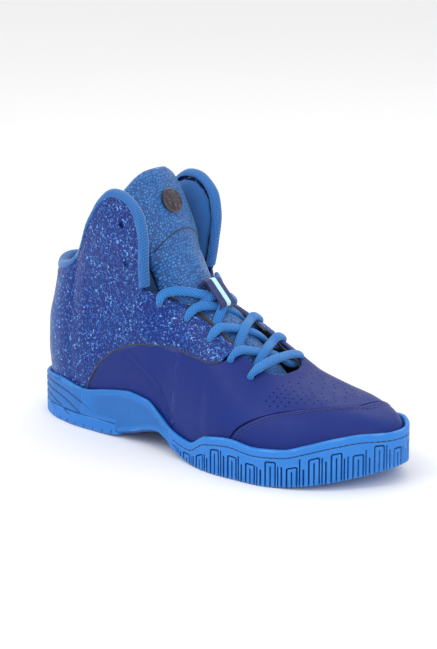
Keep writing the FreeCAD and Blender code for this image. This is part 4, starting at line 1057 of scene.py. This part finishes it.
# ---------------------------------------------------------------- panels over the foot and ankle
QUARTER = [(-8, 17.5, -8, 109), (6, 17.5, 7, 110.5), (20, 17.2, 21, 113.5), (34, 17, 35, 117),
           (45, 17, 46, 124), (54, 16.8, 56, 136), (60, 17, 65, 151), (63.5, 34, 72, 160),
           (70, 45, 80, 170), (83, 59, 92, 178.5), (93, 66, 104, 177.5), (102, 70, 114, 169),
           (108, 72, 119, 154), (113, 73.5, 118, 130), (117, 74, 116.5, 113),
           (119, 74.3, 118.5, 111.5), (126, 74.8, 126, 107.5), (138, 75, 138, 102),
           (150, 74.6, 150, 96.5), (160, 73.2, 161, 91.5), (170, 71.8, 171, 86.5),
           (178, 71.3, 179, 82.2), (182.5, 73, 185, 78.8)]
SIDE_PANEL = [(60.8, 17.2, 62, 27), (64.5, 17, 64.5, 34), (71, 16.7, 71, 44.2),
              (84, 16, 84, 58.6), (98, 15.2, 98, 67.8), (110, 14.5, 110, 72.1),
              (122, 14, 122, 74.1), (135, 13.3, 135, 74.6), (147.6, 13, 147.6, 74.3)]
EYELETS = [(204, 65), (187.5, 74.5), (168, 84), (146, 94), (126, 103)]
HIGH_EYELETS = [(104, 130), (102, 158)]
EYELET_RADIUS = 2.6
EYELET_CUTTER, EYELET_SIDES = 9.0, 20
PERFORATION_RADIUS, PERFORATION_DEPTH = 0.62, 2.4
PANEL_RAISE = 0.55                  # an overlaid panel stands out by this much


def seam_a(x, z):
    """The dome's a just under the quarter's lower seam."""
    return float(across(np.array([float(x)]), z - 0.4)[0])


VAMP_REAR = [(148, seam_a(148, 74.6), 148, 1.0), (158, seam_a(158, 73.6), 158, 1.0),
             (169, seam_a(169, 71.8), 170, 1.0), (178, seam_a(178, 71.3), 182, 1.0),
             (184, seam_a(184, 73.5), 192, 1.0)]
VAMP_LATERAL = [(187, 0.17, 199, 1.0), (194, 0.16, 207.5, 0.765), (201, 0.155, 222.4, 0.55),
                (207, 0.13, 239.4, 0.365), (211.5, 0.08, 256, 0.20), (213.5, 0.03, 266.5, 0.06)]
VAMP_MEDIAL = [(187, 0.17, 210, 1.0), (194, 0.16, 229.7, 0.765), (201, 0.155, 246.6, 0.615),
               (207, 0.13, 261.6, 0.465), (211.5, 0.08, 270.4, 0.30), (213.5, 0.03, 271.3, 0.12)]
VAMP_RIDGE = (214, 0.0, 269.9, 0.0)
TOE_LATERAL = [(200.6, 0.985, 203.5, 1.0), (209.3, 0.765, 222, 1.0), (224.3, 0.55, 242, 1.0),
               (241.3, 0.365, 262, 1.0), (257.3, 0.205, 280, 1.0), (265.5, 0.09, 292, 1.0),
               (269.4, 0.03, 297, 0.9)]
TOE_MEDIAL = [(211.6, 0.985, 214, 1.0), (218.5, 0.925, 223, 1.0), (231.3, 0.765, 240, 1.0),
              (248.3, 0.615, 260, 1.0), (263.3, 0.465, 278, 1.0), (272.3, 0.30, 291, 1.0),
              (273.2, 0.12, 297, 0.9)]
TOE_RIDGE = (271.7, 0.0, TOE_TIP, 0.0)


def round_the_front(lateral, ridge, medial):
    """Columns from the lateral end over the ridge to the medial end."""
    return ([(x0, -a0, x1, -a1) for x0, a0, x1, a1 in lateral] + [ridge]
            + list(reversed(medial)))


def surface_frame(place, u, v, side):
    """A point on a surface and the way out of it."""
    here, along, up = (place(np.array([u + du]), np.array([v + dv]))[0]
                       for du, dv in ((0, 0), (1e-2, 0), (0, 1e-2)))
    normal = np.cross(along - here, up - here)
    normal = normal / np.linalg.norm(normal)
    return here, normal if normal[1] * side >= 0 else -normal


def eyelet_places(side, eyelets):
    return [surface_frame(lambda g, z: wall(side, g, z), x, z, side) for x, z in eyelets]


def perforation_places():
    """Small round holes over the toes, in staggered rows inside the toe cap's seam."""
    lateral_seam = [(x, a) for _, _, x, a in VAMP_LATERAL]
    medial_seam = [(x, a) for _, _, x, a in VAMP_MEDIAL]
    places = []
    for i in range(10):
        x = 221.0 + 4.4 * i
        for j in range(-9, 10):
            a = (j + 0.5 * (i % 2)) * 0.062
            side, seam = (LATERAL, lateral_seam) if a < 0 else (MEDIAL, medial_seam)
            if abs(a) > min(0.42, float(curve(seam, np.array([x]))[0]) - 0.075):
                continue
            here = dome(side, np.array([x]), np.array([abs(a)]))[0]
            step = dome(side, np.array([x + 0.01]), np.array([abs(a)]))[0] - here
            other = dome(side, np.array([x]), np.array([abs(a) + 0.001]))[0] - here
            normal = np.cross(step, other)
            normal = normal / np.linalg.norm(normal)
            places.append((here, normal if normal[2] > 0 else -normal))
    return places


def vamp_relief(x, signed):
    """Soft flex creases beside the ball of the foot."""
    a = np.abs(signed)
    lower = smooth_step((a - 0.45) / 0.25)
    first = bump(x - 174 - 10 * (a - 0.7), 5.0)
    second = bump(x - 186 - 16 * (a - 0.7), 4.0)
    ripple = bump(x - 212 - 14 * a, 7.0) * smooth_step((a - 0.25) / 0.2)
    return -lower * (0.75 * first + 0.35 * second) - 0.25 * ripple


vamp = dome_slab("vamp_panel", round_the_front(VAMP_REAR + VAMP_LATERAL, VAMP_RIDGE,
                                               VAMP_REAR + VAMP_MEDIAL),
                 0.0, PANEL, navy, "vamp", vamp_relief, spacing=2.0)
apply_modifiers(vamp)
holes = cylinders("vamp_eyelets", eyelet_places(LATERAL, EYELETS[:2])
                  + eyelet_places(MEDIAL, EYELETS[:2]), EYELET_RADIUS, EYELET_CUTTER,
                  EYELET_SIDES)
cut_with(vamp, holes)
cut_with(vamp, cylinders("vamp_holes", perforation_places(), PERFORATION_RADIUS,
                         PERFORATION_DEPTH, 8))
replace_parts(vamp, "vamp")


toe_cap = dome_slab("toe_cap_panel", round_the_front(TOE_LATERAL, TOE_RIDGE, TOE_MEDIAL),
                    -PANEL_RAISE, PANEL, navy, "vamp", spacing=1.8, edge=0.55)
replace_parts(toe_cap, "toe_cap")


ARC_LINE = [(97, 67.5), (102, 65.2), (110, 61.2), (118, 56.2), (131, 46), (140, 34), (146, 25),
            (150, 18)]


def side_relief(girth, z):
    """An embossed line that arcs down the side panel."""
    line = through(ARC_LINE, 1.0)
    distance = np.full(girth.shape, 99.0)
    for px, pz in line:
        distance = np.minimum(distance, np.hypot(girth - px, z - pz))
    fade = smooth_step((girth - 96) / 14)
    hollow = -0.35 * bump(distance - 2.2, 1.3)
    return fade * (0.75 * bump(distance, 0.85) + hollow)


LOWER_EDGE = [(g, z) for g, z, _, _ in QUARTER[6:]]
FRONT_EDGE = [(g, z) for _, _, g, z in QUARTER[14:]]
for side, word in SIDE_NAMES.items():
    quarter = wall_slab(f"quarter_panel_{word}", side, QUARTER, -PANEL_RAISE, PANEL, speckled,
                        "speckled_quarter", edge=0.5)
    apply_modifiers(quarter)
    cut_with(quarter, cylinders(f"quarter_eyelets_{word}",
                                eyelet_places(side, EYELETS[2:] + HIGH_EYELETS), EYELET_RADIUS,
                                EYELET_CUTTER, EYELET_SIDES))
    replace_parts(quarter, f"quarter_{word}")
    panel = wall_slab(f"side_panel_{word}_skin", side, SIDE_PANEL, 0.0, PANEL, navy, "vamp",
                      side_relief, spacing=1.2)
    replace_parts(panel, f"side_panel_{word}")
    filler = [(145.5, 13.4, 145.5, 74.0), (147.8, 13.1, 147.8, 73.8), (150, 13.0, 150, 73.6)]
    wall_slab(f"seam_filler_{word}", side, filler, 0.10, PANEL, navy, "vamp", spacing=1.0, edge=0)
    seam = through(LOWER_EDGE, 1.2)
    round_cord(f"quarter_piping_{word}", wall(side, seam[:, 0], seam[:, 1] - 0.35, -0.05), 0.72,
               dark_thread)
    row = offset_line(LOWER_EDGE, 2.1)
    stitches(f"quarter_stitches_{word}", wall(side, row[:, 0], row[:, 1], -PANEL_RAISE - 0.05),
             navy_thread)
    row = offset_line(FRONT_EDGE, -2.2)
    stitches(f"eyestay_stitches_{word}", wall(side, row[:, 0], row[:, 1], -PANEL_RAISE - 0.05),
             navy_thread)


def toe_seam(gap):
    """The toe cap's rear edge over both sides of the dome, moved forward by gap."""
    edge = [(x, -a) for x, a, _, _ in TOE_LATERAL] + [(TOE_RIDGE[0], 0.0)]
    edge += [(x, a) for x, a, _, _ in reversed(TOE_MEDIAL)]
    fine = np.array(edge, float)
    world = dome(np.where(fine[:, 1] < 0, LATERAL, MEDIAL), fine[:, 0], np.abs(fine[:, 1]))
    runs = path_lengths(world)
    at = np.linspace(0, runs[-1], 240)
    x = curve(list(zip(runs, fine[:, 0])), at)
    a = curve(list(zip(runs, fine[:, 1])), at)
    side = np.where(a < 0, LATERAL, MEDIAL)
    return dome(side, x + gap, np.abs(a), -PANEL_RAISE - 0.08)


stitches("toe_cap_stitches", toe_seam(2.4), navy_thread)
stitches("toe_cap_stitches_second", toe_seam(4.9), navy_thread)

# ---------------------------------------------------------------- soft goods
def plump(obj, voxel, cap, pressure=4.0):
    """Stuff a closed cloth piece: press it outward as cloth, move it no more than cap, smooth it."""
    apply_modifiers(obj)
    remesh = obj.modifiers.new("even", "REMESH")
    remesh.mode = "VOXEL"
    remesh.voxel_size = voxel * MM
    apply_modifiers(obj)
    rest = np.array([v.co for v in obj.data.vertices])
    cloth = obj.modifiers.new("stuffing", "CLOTH")
    settings = cloth.settings
    settings.quality = 6
    settings.mass = 0.3
    settings.tension_stiffness = settings.compression_stiffness = 18.0
    settings.shear_stiffness = 6.0
    settings.bending_stiffness = 0.6
    settings.use_pressure = True
    settings.uniform_pressure_force = pressure
    settings.effector_weights.gravity = 0.0
    cloth.point_cache.frame_start, cloth.point_cache.frame_end = 1, 20
    scene = bpy.context.scene
    for step in range(1, 21):
        scene.frame_set(step)
    bpy.context.view_layer.update()
    evaluated = obj.evaluated_get(bpy.context.evaluated_depsgraph_get())
    pressed = np.array([v.co for v in evaluated.data.vertices])
    obj.modifiers.clear()
    scene.frame_set(1)
    move = pressed - rest
    size = np.linalg.norm(move, axis=1, keepdims=True)
    limit = cap * MM
    rest = rest + move / np.maximum(size, 1e-9) * limit * np.tanh(size / limit)
    for vertex, place in zip(obj.data.vertices, rest):
        vertex.co = place
    relax = obj.modifiers.new("relax", "SMOOTH")
    relax.factor, relax.iterations = 0.5, 14
    finer = obj.modifiers.new("finer", "SUBSURF")
    finer.levels = finer.render_levels = 1
    apply_modifiers(obj)
    obj.data.shade_smooth()


def round_heel(t, z, depth=0.0):
    """A point of the wall at t, the signed girth from the middle of the heel."""
    return wall(np.where(t < 0, LATERAL, MEDIAL), np.abs(t) + HEEL_CENTRE - HEEL_TURN, z, depth)


def mirrored(columns):
    """Columns of girths counted from the heel's middle, on both sides of it."""
    start = HEEL_CENTRE - HEEL_TURN
    other = [(g0 - start, z0, g1 - start, z1) for g0, z0, g1, z1 in columns]
    return [(-a, z0, -b, z1) for a, z0, b, z1 in reversed(other)] + other[1:]


def heel_slab(name, columns, near, far, material, slot, spacing=1.6, edge=0.45, relief=None):
    """A panel round the heel between two depths."""
    t, z, f = panel_grid(mirrored(columns), spacing, round_heel)
    outer = round_heel(t, z, near(f) - (relief(t, z) if relief else 0.0))
    return slab(name, outer, round_heel(t, z, far(f)), SHOE, material, slot, edge)


BACKSTAY = [(-20, 17.5, -20, 88), (-14, 17.5, -14, 88), (-8.5, 17.5, -8.5, 87)]
backstay = heel_slab("backstay_strip", BACKSTAY, lambda f: -0.35, lambda f: PANEL,
                     heel_synthetic, "heel_strip")
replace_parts(backstay, "backstay")
HEEL_TAB = [(-20, 88.6, -20, 109), (-14, 88.6, -14, 109), (-8.5, 88.2, -8.5, 108.5)]
heel_tab = heel_slab("heel_tab_pad", HEEL_TAB, lambda f: -1.2 - 2.4 * f * (1 - f), lambda f: PANEL,
                     heel_synthetic, "heel_strip", edge=0.6)
plump(heel_tab, 1.6, 0.9)
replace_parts(heel_tab, "heel_tab")
for way in (-1, 1):
    z = np.linspace(22, 86, 90)
    stitches(f"backstay_stitches_{'lateral' if way < 0 else 'medial'}",
             round_heel(np.full_like(z, way * 9.4), z, -0.75), sky_thread)
t = np.linspace(-10.2, 10.2, 60)
stitches("heel_tab_stitches", round_heel(t, np.full_like(t, 86.0), -0.75), sky_thread)

LINING_LOW = 60.0
FOAM = 6.0                          # foam of the ankle collar
COLLAR = [(-20, 113.5), (-8, 113), (7, 111.5), (21, 113.5), (35, 117), (46, 124), (56, 136),
          (65, 151), (72, 160), (80, 170), (92, 178.5), (104, 177.5), (114, 169), (118.6, 154),
          (117.6, 130), (116.3, 114)]
COLLAR_FOOT = [-20, -8, 6, 20, 34, 44, 52, 60, 68, 76, 85, 92, 98, 103, 107]
foam_columns = [(foot, LINING_LOW, g - 0.8 if g > 100 else g, z - 2.0)
                for foot, (g, z) in zip(COLLAR_FOOT, COLLAR)]
collar = heel_slab("collar_pad", foam_columns, lambda f: LINING + 0.1,
                   lambda f: LINING + FOAM * (1 - 0.35 * f * f), collar_cloth, "collar_lining",
                   spacing=2.0, edge=0.0)
plump(collar, 2.4, 1.6)
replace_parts(collar, "collar_foam")
heel_columns = [(g, 23.8, g, LINING_LOW - 0.5) for g in (-20, -8, 6, 20, 34, 45, 60, 78, 96, 112)]
lining = heel_slab("heel_lining_cloth", heel_columns, lambda f: LINING + 0.35,
                   lambda f: LINING + 1.4, dark_knit, "dark_lining", spacing=2.4, edge=0.25)
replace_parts(lining, "heel_lining")

# (depth, lift) round the folded tape that closes the collar's edge
PIPING = [(-0.9, -2.4), (-1.4, -0.9), (-1.4, 0.9), (-0.2, 2.6), (2.0, 3.3), (4.8, 2.9),
          (6.9, 1.2), (7.5, -1.2), (6.5, -1.6), (5.2, 0.6), (2.0, 1.7), (-0.2, 0.6), (-0.4, -2.4)]


def collar_binding():
    start = HEEL_CENTRE - HEEL_TURN
    half = [(g - start, z) for g, z in COLLAR]
    path = through([(-g, z) for g, z in reversed(half)] + half[1:], 1.5)
    sections = []
    for t, z in path:
        forward = float(smooth_step((abs(t) + start - 104) / 12))
        way = -1 if t < 0 else 1
        profile = np.array(PIPING)
        sections.append(round_heel(t + way * profile[:, 1] * forward,
                                   z + profile[:, 1] * (1 - 0.7 * forward), profile[:, 0]))
    return loop_sweep("collar_tape", sections, SHOE, sky_tape)


binding = collar_binding()
round_off = binding.modifiers.new("round", "SUBSURF")
round_off.levels = round_off.render_levels = 1
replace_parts(binding, "collar_binding")
for side, word in SIDE_NAMES.items():
    row = offset_line(COLLAR[1:15], -6.2)
    stitches(f"collar_stitches_{word}", wall(side, row[:, 0], row[:, 1], -PANEL_RAISE - 0.05),
             navy_thread)


def sockliner():
    inset = INSET + LINING + 1.0 + 1.4 + 0.4
    station = np.concatenate([np.linspace(0.3, 12, 12), np.linspace(14, 288, 120),
                              np.linspace(290, 301.7, 12)])[None, :]
    f = np.sin(np.linspace(-1, 1, 44) * math.pi / 2)[:, None]
    side = np.where(f < 0, LATERAL, MEDIAL)
    x, edge = ring_point(side * np.ones_like(station), station * np.ones_like(f), inset)
    middle = curve(CENTRE_LINE, station)
    y = blend(middle, edge, np.abs(f))
    dish = 0.8 * (1 - np.abs(f) ** 3)
    top = np.stack([x, y, footbed(x) + 6.2 - dish], axis=-1)
    low = np.stack([x, y, footbed(x) + 1.8], axis=-1)
    return slab("sockliner_pad", top, low, SHOE, sock_cloth, "sockliner", 1.0)


footbed_pad = sockliner()
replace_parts(footbed_pad, "sockliner")

# ---------------------------------------------------------------- tongue
TONGUE = np.array([(228, 46), (214, 54), (204, 62), (190, 73.5), (167, 91), (149.5, 103.5),
                   (139.5, 116.5), (126.5, 138.5), (111.5, 165.5), (97, 192)], float)
TONGUE_RUNS = path_lengths(TONGUE)
TONGUE_SEAM, TONGUE_END = TONGUE_RUNS[7], TONGUE_RUNS[-1]
LOWER_HALF_WIDTH = [(0, 19.5), (30, 21), (60, 22), (95, 23.6), (TONGUE_SEAM, 27)]
LOWER_THICKNESS, UPPER_THICKNESS = 9.0, 13.0


def tongue_centre(run):
    return (curve(list(zip(TONGUE_RUNS, TONGUE[:, 0])), run),
            curve(list(zip(TONGUE_RUNS, TONGUE[:, 1])), run))


def tongue_normal(run):
    x0, z0 = tongue_centre(np.maximum(0, run - 3))
    x1, z1 = tongue_centre(np.minimum(TONGUE_END, run + 3))
    length = np.hypot(x1 - x0, z1 - z0)
    return (z1 - z0) / length, -(x1 - x0) / length


def tongue(run, width, depth):
    """A point of the tongue: run along it, width across it, depth from its outer face."""
    run, width, depth = np.broadcast_arrays(run, width, depth)
    x, z = tongue_centre(run)
    nx, nz = tongue_normal(run)
    bow = blend(0.030, 0.0150, smooth_step((run - TONGUE_SEAM + 25) / 45))
    inward = depth + bow * width * width
    return np.stack([x - nx * inward, width * 1.0, z - nz * inward], axis=-1)


def upper_half_width(run):
    f = np.maximum(0.0, (run - (TONGUE_END - 22)) / 22)
    return blend(27.5, 31, smooth_step((run - TONGUE_SEAM) / 25)) * (1 - 0.72 * f ** 3)


def tongue_pad(name, start, end, half_width, thickness, start_gap, end_gap, body):
    """A length of padded tongue; the gaps are how far its ends are cut back outside and inside."""
    f = np.linspace(-1, 1, 34)[None, :]
    r = np.linspace(0, 1, 60)[:, None]
    faces = []
    for i, near in enumerate((-0.3, 0.0)):
        run = blend(start + start_gap[i], end - end_gap[i], r)
        depth = near if i == 0 else thickness * (1 - 0.45 * f * f)
        faces.append(tongue(run, half_width(run) * f, depth))
    pad = slab(name, *faces, body, tongue_cloth, "tongue_mesh", 0.0)
    plump(pad, 2.2, 1.3)
    return pad


lower_tongue = tongue_pad("tongue_lower_pad", 0.0, TONGUE_SEAM,
                          lambda run: curve(LOWER_HALF_WIDTH, run), LOWER_THICKNESS, (0, 0),
                          (2.3, 1.3), SHOE)
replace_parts(lower_tongue, "tongue_lower")
upper_tongue = tongue_pad("tongue_upper_pad", TONGUE_SEAM, TONGUE_END, upper_half_width,
                          UPPER_THICKNESS, (2.3, 1.3), (0, 2.5), TONGUE_TOP)
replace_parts(upper_tongue, "tongue_upper")

seam_width = np.linspace(-26.0, 26.0, 60)
fold_strip = slab("tongue_fold_cloth",
                  tongue(np.linspace(TONGUE_SEAM - 4, TONGUE_SEAM + 4, 17)[:, None],
                         seam_width[None, :], 0.35),
                  tongue(np.linspace(TONGUE_SEAM - 4, TONGUE_SEAM + 4, 17)[:, None],
                         seam_width[None, :], 3.2), SHOE, tongue_cloth, "tongue_mesh", 0.0)
fold_strip.parent = None
tuple(to_row(tongue(TONGUE_SEAM - 4, 0.0, 2.0)))
tuple(to_row(tongue(TONGUE_SEAM + 4, 0.0, 2.0)))
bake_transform(fold_strip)


def settled(path, obj):
    """The path's points moved onto a piece's surface, in millimetres."""
    found = [obj.closest_point_on_mesh(Vector(p))[1] for p in to_row(path)]
    return np.array(found) / MM + (HALF_LENGTH, 0, 0)


seam_arc = np.linspace(-24.0, 24.0, 60)
arc_run = TONGUE_SEAM + 4.0 + 9.0 * (1 - (seam_arc / 24.0) ** 2)
round_cord("tongue_seam_cord", settled(tongue(arc_run, seam_arc, -0.8), upper_tongue), 0.55,
           dark_thread, TONGUE_TOP)


def on_tongue(run, across_it, along, lift):
    """Points in a flat frame that lies on the tongue's middle line."""
    x, z = tongue_centre(np.array(float(run)))
    nx, nz = tongue_normal(np.array(float(run)))
    across_it, along, lift = np.broadcast_arrays(across_it, along, lift)
    return np.stack([x - nz * along + nx * lift, across_it * 1.0, z + nx * along + nz * lift],
                    axis=-1)


def arch_loop(half, rise, foot, thickness, corner, steps=8):
    """The outline of a bridge with rounded corners: (along, lift) points round it once."""
    turn = np.linspace(0, math.pi / 2, steps)

    def path(edge, top, radius):
        left = [(-edge + radius - radius * math.cos(a), top - radius + radius * math.sin(a))
                for a in turn]
        right = [(-x, y) for x, y in reversed(left)]
        return [(-edge, -foot)] + left + right + [(edge, -foot)]
    outer = path(half, rise, corner)
    inner = path(half - thickness, rise - thickness, max(0.4, corner - thickness))
    return np.array(outer + inner[::-1])


KEEPER_RUN = TONGUE_RUNS[5] + 1.5
KEEPER_WIDTH, KEEPER_LENGTH, KEEPER_RISE = 15.0, 24.0, 9.4


def keeper():
    loop = arch_loop(KEEPER_LENGTH / 2, KEEPER_RISE, 2.6, 1.2, 3.0)
    sections = []
    for across_it in np.linspace(-KEEPER_WIDTH / 2, KEEPER_WIDTH / 2, 12):
        sag = 0.35 * (across_it / KEEPER_WIDTH * 2) ** 2
        sections.append(on_tongue(KEEPER_RUN, across_it, loop[:, 0],
                                  loop[:, 1] - sag * (loop[:, 1] > 4)))
    piece = loop_sweep("keeper_tape", sections, SHOE, navy_tape)
    bevel(piece, 0.3)
    return piece


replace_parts(keeper(), "lace_keeper")


def keeper_stripe():
    along = np.linspace(-KEEPER_LENGTH / 2 + 0.2, KEEPER_LENGTH / 2 - 0.2, 30)[:, None]
    over = np.maximum(0.0, np.abs(along) - (KEEPER_LENGTH / 2 - 3.0))
    drop = 3.0 - np.sqrt(np.maximum(0.0, 9.0 - over ** 2))
    across_it = np.linspace(-2.0, 2.0, 7)[None, :]
    top = on_tongue(KEEPER_RUN, across_it, along, KEEPER_RISE + 0.5 - drop)
    low = on_tongue(KEEPER_RUN, across_it, along, KEEPER_RISE - 0.1 - drop)
    return slab("keeper_film", top, low, SHOE, film, "reflective", 0.12)


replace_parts(keeper_stripe(), "keeper_stripe")

EMBLEM_RUN = TONGUE_RUNS[8] + 3.0
EMBLEM_RADIUS, EMBLEM_LIFT = 9.0, 0.9


def emblem():
    """A domed badge with the seams of a ball."""
    turn = np.linspace(0, 2 * math.pi, 120, endpoint=False)[:, None]
    r = np.linspace(0.02, EMBLEM_RADIUS, 48)[None, :]
    u, v = r * np.cos(turn), r * np.sin(turn)
    seams = np.minimum.reduce([np.abs(u), np.abs(v),
                               np.abs(np.hypot(u - 11.5, v) - 7.0),
                               np.abs(np.hypot(u + 11.5, v) - 7.0)])
    rim = bump(r - 8.2, 0.45) * 0.25
    height = 1.5 * (1 - (r / EMBLEM_RADIUS) ** 2) + 0.8 + rim
    height = height - 0.45 * bump(seams, 0.32) * (r < 7.9)
    top = on_tongue(EMBLEM_RUN, u, v, EMBLEM_LIFT + height)
    low = on_tongue(EMBLEM_RUN, u, v, EMBLEM_LIFT - 0.6 + 0 * u)
    count, rings = u.shape
    vertices = np.concatenate([top.reshape(-1, 3), low.reshape(-1, 3)])
    faces = grid_faces(count, rings, wrap=True)
    faces += [f[::-1] for f in grid_faces(count, rings, count * rings, wrap=True)]
    base = count * rings
    for i in range(count):
        j = (i + 1) % count
        faces.append((i * rings + rings - 1, j * rings + rings - 1,
                      base + j * rings + rings - 1, base + i * rings + rings - 1))
    faces.append([i * rings for i in range(count)])
    faces.append([base + i * rings for i in range(count)][::-1])
    return new_object("emblem_badge", vertices, faces, TONGUE_TOP, badge_metal)


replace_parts(emblem(), "tongue_emblem")

# ---------------------------------------------------------------- lace
# From the middle of the bottom bar to one tip: x, y, z and how far it is raised at a crossing.
LACE_HALF = [
    (206, 0, 72, 0), (206, -13, 71.5, 0), (205.6, -23, 69.5, 0), (204.8, -29, 66.5, 0),
    (201.5, -26, 60.5, 0), (199, -18.5, 62, 0), (197.5, -10, 70.5, 0),
    (194.5, 0, 75, 1.9), (190.5, 12, 77, 0), (188.8, 21.5, 80, 0), (188.4, 30.5, 76, 0),
    (185.4, 27, 70, 0), (183, 19.5, 73, 0), (180.5, 10, 82.5, 0),
    (176.5, 0, 88.5, -1.9), (172, -11, 90, 0), (169.5, -19.5, 92, 0), (168.7, -29.3, 86, 0),
    (166.3, -25, 80, 0), (163.5, -18.5, 84, 0), (161, -10, 94.5, 0),
    (157.5, 0, 101.5, 1.9), (152, 11, 102, 0), (148, 19.5, 102, 0), (146.5, 27.3, 96, 0),
    (144.3, 22.5, 89.5, 0), (145.5, 16.5, 97.5, 0), (149.5, 9, 105.5, 0),
    (151.7, 0, 107.3, -2.1), (147, -11.5, 109.5, 0), (135, -21.5, 112.5, 0),
    (127, -30.5, 110.5, 0), (127.5, -34, 104, 0), (122, -26.5, 100, 0), (117.5, -26, 90, 0),
    (114, -26.5, 77, 0), (111, -26.5, 63, 0), (109.5, -26, 49, 0), (111, -24.5, 36, 0),
    (118, -23, 26.5, 0), (131, -22.8, 22.3, 0), (148, -24.5, 20.9, 0), (167, -28.5, 19.9, 0),
    (188, -32.5, 19.4, 0), (210, -34, 19.2, 0), (231, -32.5, 19.0, 0), (249, -27.5, 21.4, 0),
]
OUT_OF_THROAT = np.array([0.6, 0, 0.8])
LACE_HALF_WIDE, LACE_HALF_THIN = 3.3, 1.9


def lace_route():
    points = np.array(LACE_HALF, float)
    first = points[:, :3] + OUT_OF_THROAT * points[:, 3:]
    second = points[1:, :3] * (1, -1, 1) - OUT_OF_THROAT * points[1:, 3:]
    return np.concatenate([first[::-1], second])


def spline_points(points):
    """The line a smooth spline makes of its poles, in millimetres."""
    data = bpy.data.curves.new("lace_line", "CURVE")
    data.dimensions = "3D"
    spline = data.splines.new("NURBS")
    spline.points.add(len(points) - 1)
    for pole, place in zip(spline.points, points):
        pole.co = (*(place * MM), 1.0)
    spline.order_u = 3
    spline.use_endpoint_u = True
    spline.resolution_u = 14
    obj = bpy.data.objects.new("lace_line", data)
    bpy.context.scene.collection.objects.link(obj)
    bpy.context.view_layer.update()
    mesh = bpy.data.meshes.new_from_object(obj.evaluated_get(
        bpy.context.evaluated_depsgraph_get()))
    line = np.array([v.co for v in mesh.vertices]) / MM
    bpy.data.objects.remove(obj)
    bpy.data.meshes.remove(mesh)
    return line


def resampled(line, spacing):
    runs = path_lengths(line)
    at = np.linspace(0, runs[-1], int(runs[-1] / spacing) + 1)
    return np.stack([np.interp(at, runs, line[:, k]) for k in range(3)], axis=1), at


def softened(values, width):
    """A running average of the same length as the values."""
    kernel = np.hanning(2 * width + 3)
    kernel /= kernel.sum()
    padded = np.pad(values, width + 1, mode="edge")
    return np.convolve(padded, kernel, mode="valid")


def carried_frames(line):
    """Tangents, and normals carried along the line without twisting."""
    tangents = np.gradient(line, axis=0)
    tangents /= np.linalg.norm(tangents, axis=1)[:, None]
    normal = np.cross(tangents[0], (0.0, 1.0, 0.0))
    normals = []
    for tangent in tangents:
        normal = normal - tangent * (normal @ tangent)
        normal = normal / np.linalg.norm(normal)
        normals.append(normal)
    return tangents, np.array(normals)


def lace():
    line, runs = resampled(spline_points(lace_route()), 1.0)
    tangents, normals = carried_frames(line)
    run_of = np.linspace(0, TONGUE_END, 300)
    tx, tz = tongue_centre(run_of)
    nearest = np.argmin((line[:, :1] - tx) ** 2 + (line[:, 2:] - tz) ** 2, axis=1)
    nx, nz = tongue_normal(run_of[nearest])
    core = np.stack([tx[nearest] - nx * 30, 0 * nx, tz[nearest] - nz * 30], axis=1)
    away = line - core
    low = line[:, 2] < 40
    falling = (line[:, 2] < 97) & (line[:, 0] < 124) & ~low
    away[falling] = (0, 1, 0)
    away[low] = (0, 0, 1)
    away /= np.linalg.norm(away, axis=1)[:, None]
    away = away - tangents * np.sum(away * tangents, axis=1)[:, None]
    weight = np.sum(away ** 2, axis=1) ** 1.5
    turn = np.arctan2(np.sum(np.cross(normals, away) * tangents, axis=1),
                      np.sum(normals * away, axis=1))
    turn = np.unwrap(np.arctan2(softened(weight * np.sin(2 * turn), 7),
                                softened(weight * np.cos(2 * turn), 7))) / 2
    thin = normals * np.cos(turn)[:, None] + np.cross(tangents, normals) * np.sin(turn)[:, None]
    wide = np.cross(tangents, thin)
    places = [place for side in (LATERAL, MEDIAL)
              for place, _ in eyelet_places(side, EYELETS)]
    to_eyelet = np.min([np.linalg.norm(line - place, axis=1) for place in places], axis=0)
    gather = smooth_step((6.5 - to_eyelet) / 4.5)
    ends = smooth_step((np.minimum(runs, runs[-1] - runs)) / 9)
    half_wide = blend(blend(LACE_HALF_WIDE, 2.3, gather), 1.9, 1 - ends)
    half_wide = half_wide * (1 + 0.035 * np.sin(runs * 0.21) * np.sin(runs * 0.067))
    half_thin = blend(LACE_HALF_THIN, 2.1, gather)
    around = 20
    angle = np.linspace(0, 2 * math.pi, around, endpoint=False)
    # a flat-sided oval
    c = np.sign(np.cos(angle)) * np.abs(np.cos(angle)) ** 0.85
    s = np.sign(np.sin(angle)) * np.abs(np.sin(angle)) ** 0.85
    sections = (line[:, None] + wide[:, None] * (half_wide[:, None] * c)[..., None]
                + thin[:, None] * (half_thin[:, None] * s)[..., None])
    piece = loop_sweep("lace_braid", sections, SHOE, lace_cloth)
    count = len(line)
    along = piece.data.attributes.new("along", "FLOAT", "POINT")
    along.data.foreach_set("value", np.tile(runs * MM, around).astype(np.float32))
    round_it = piece.data.attributes.new("round", "FLOAT", "POINT")
    share = 1 - np.abs(np.linspace(-1, 1, around, endpoint=False))
    round_it.data.foreach_set("value", np.repeat(share, count).astype(np.float32))
    return piece


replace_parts(lace(), "lace")
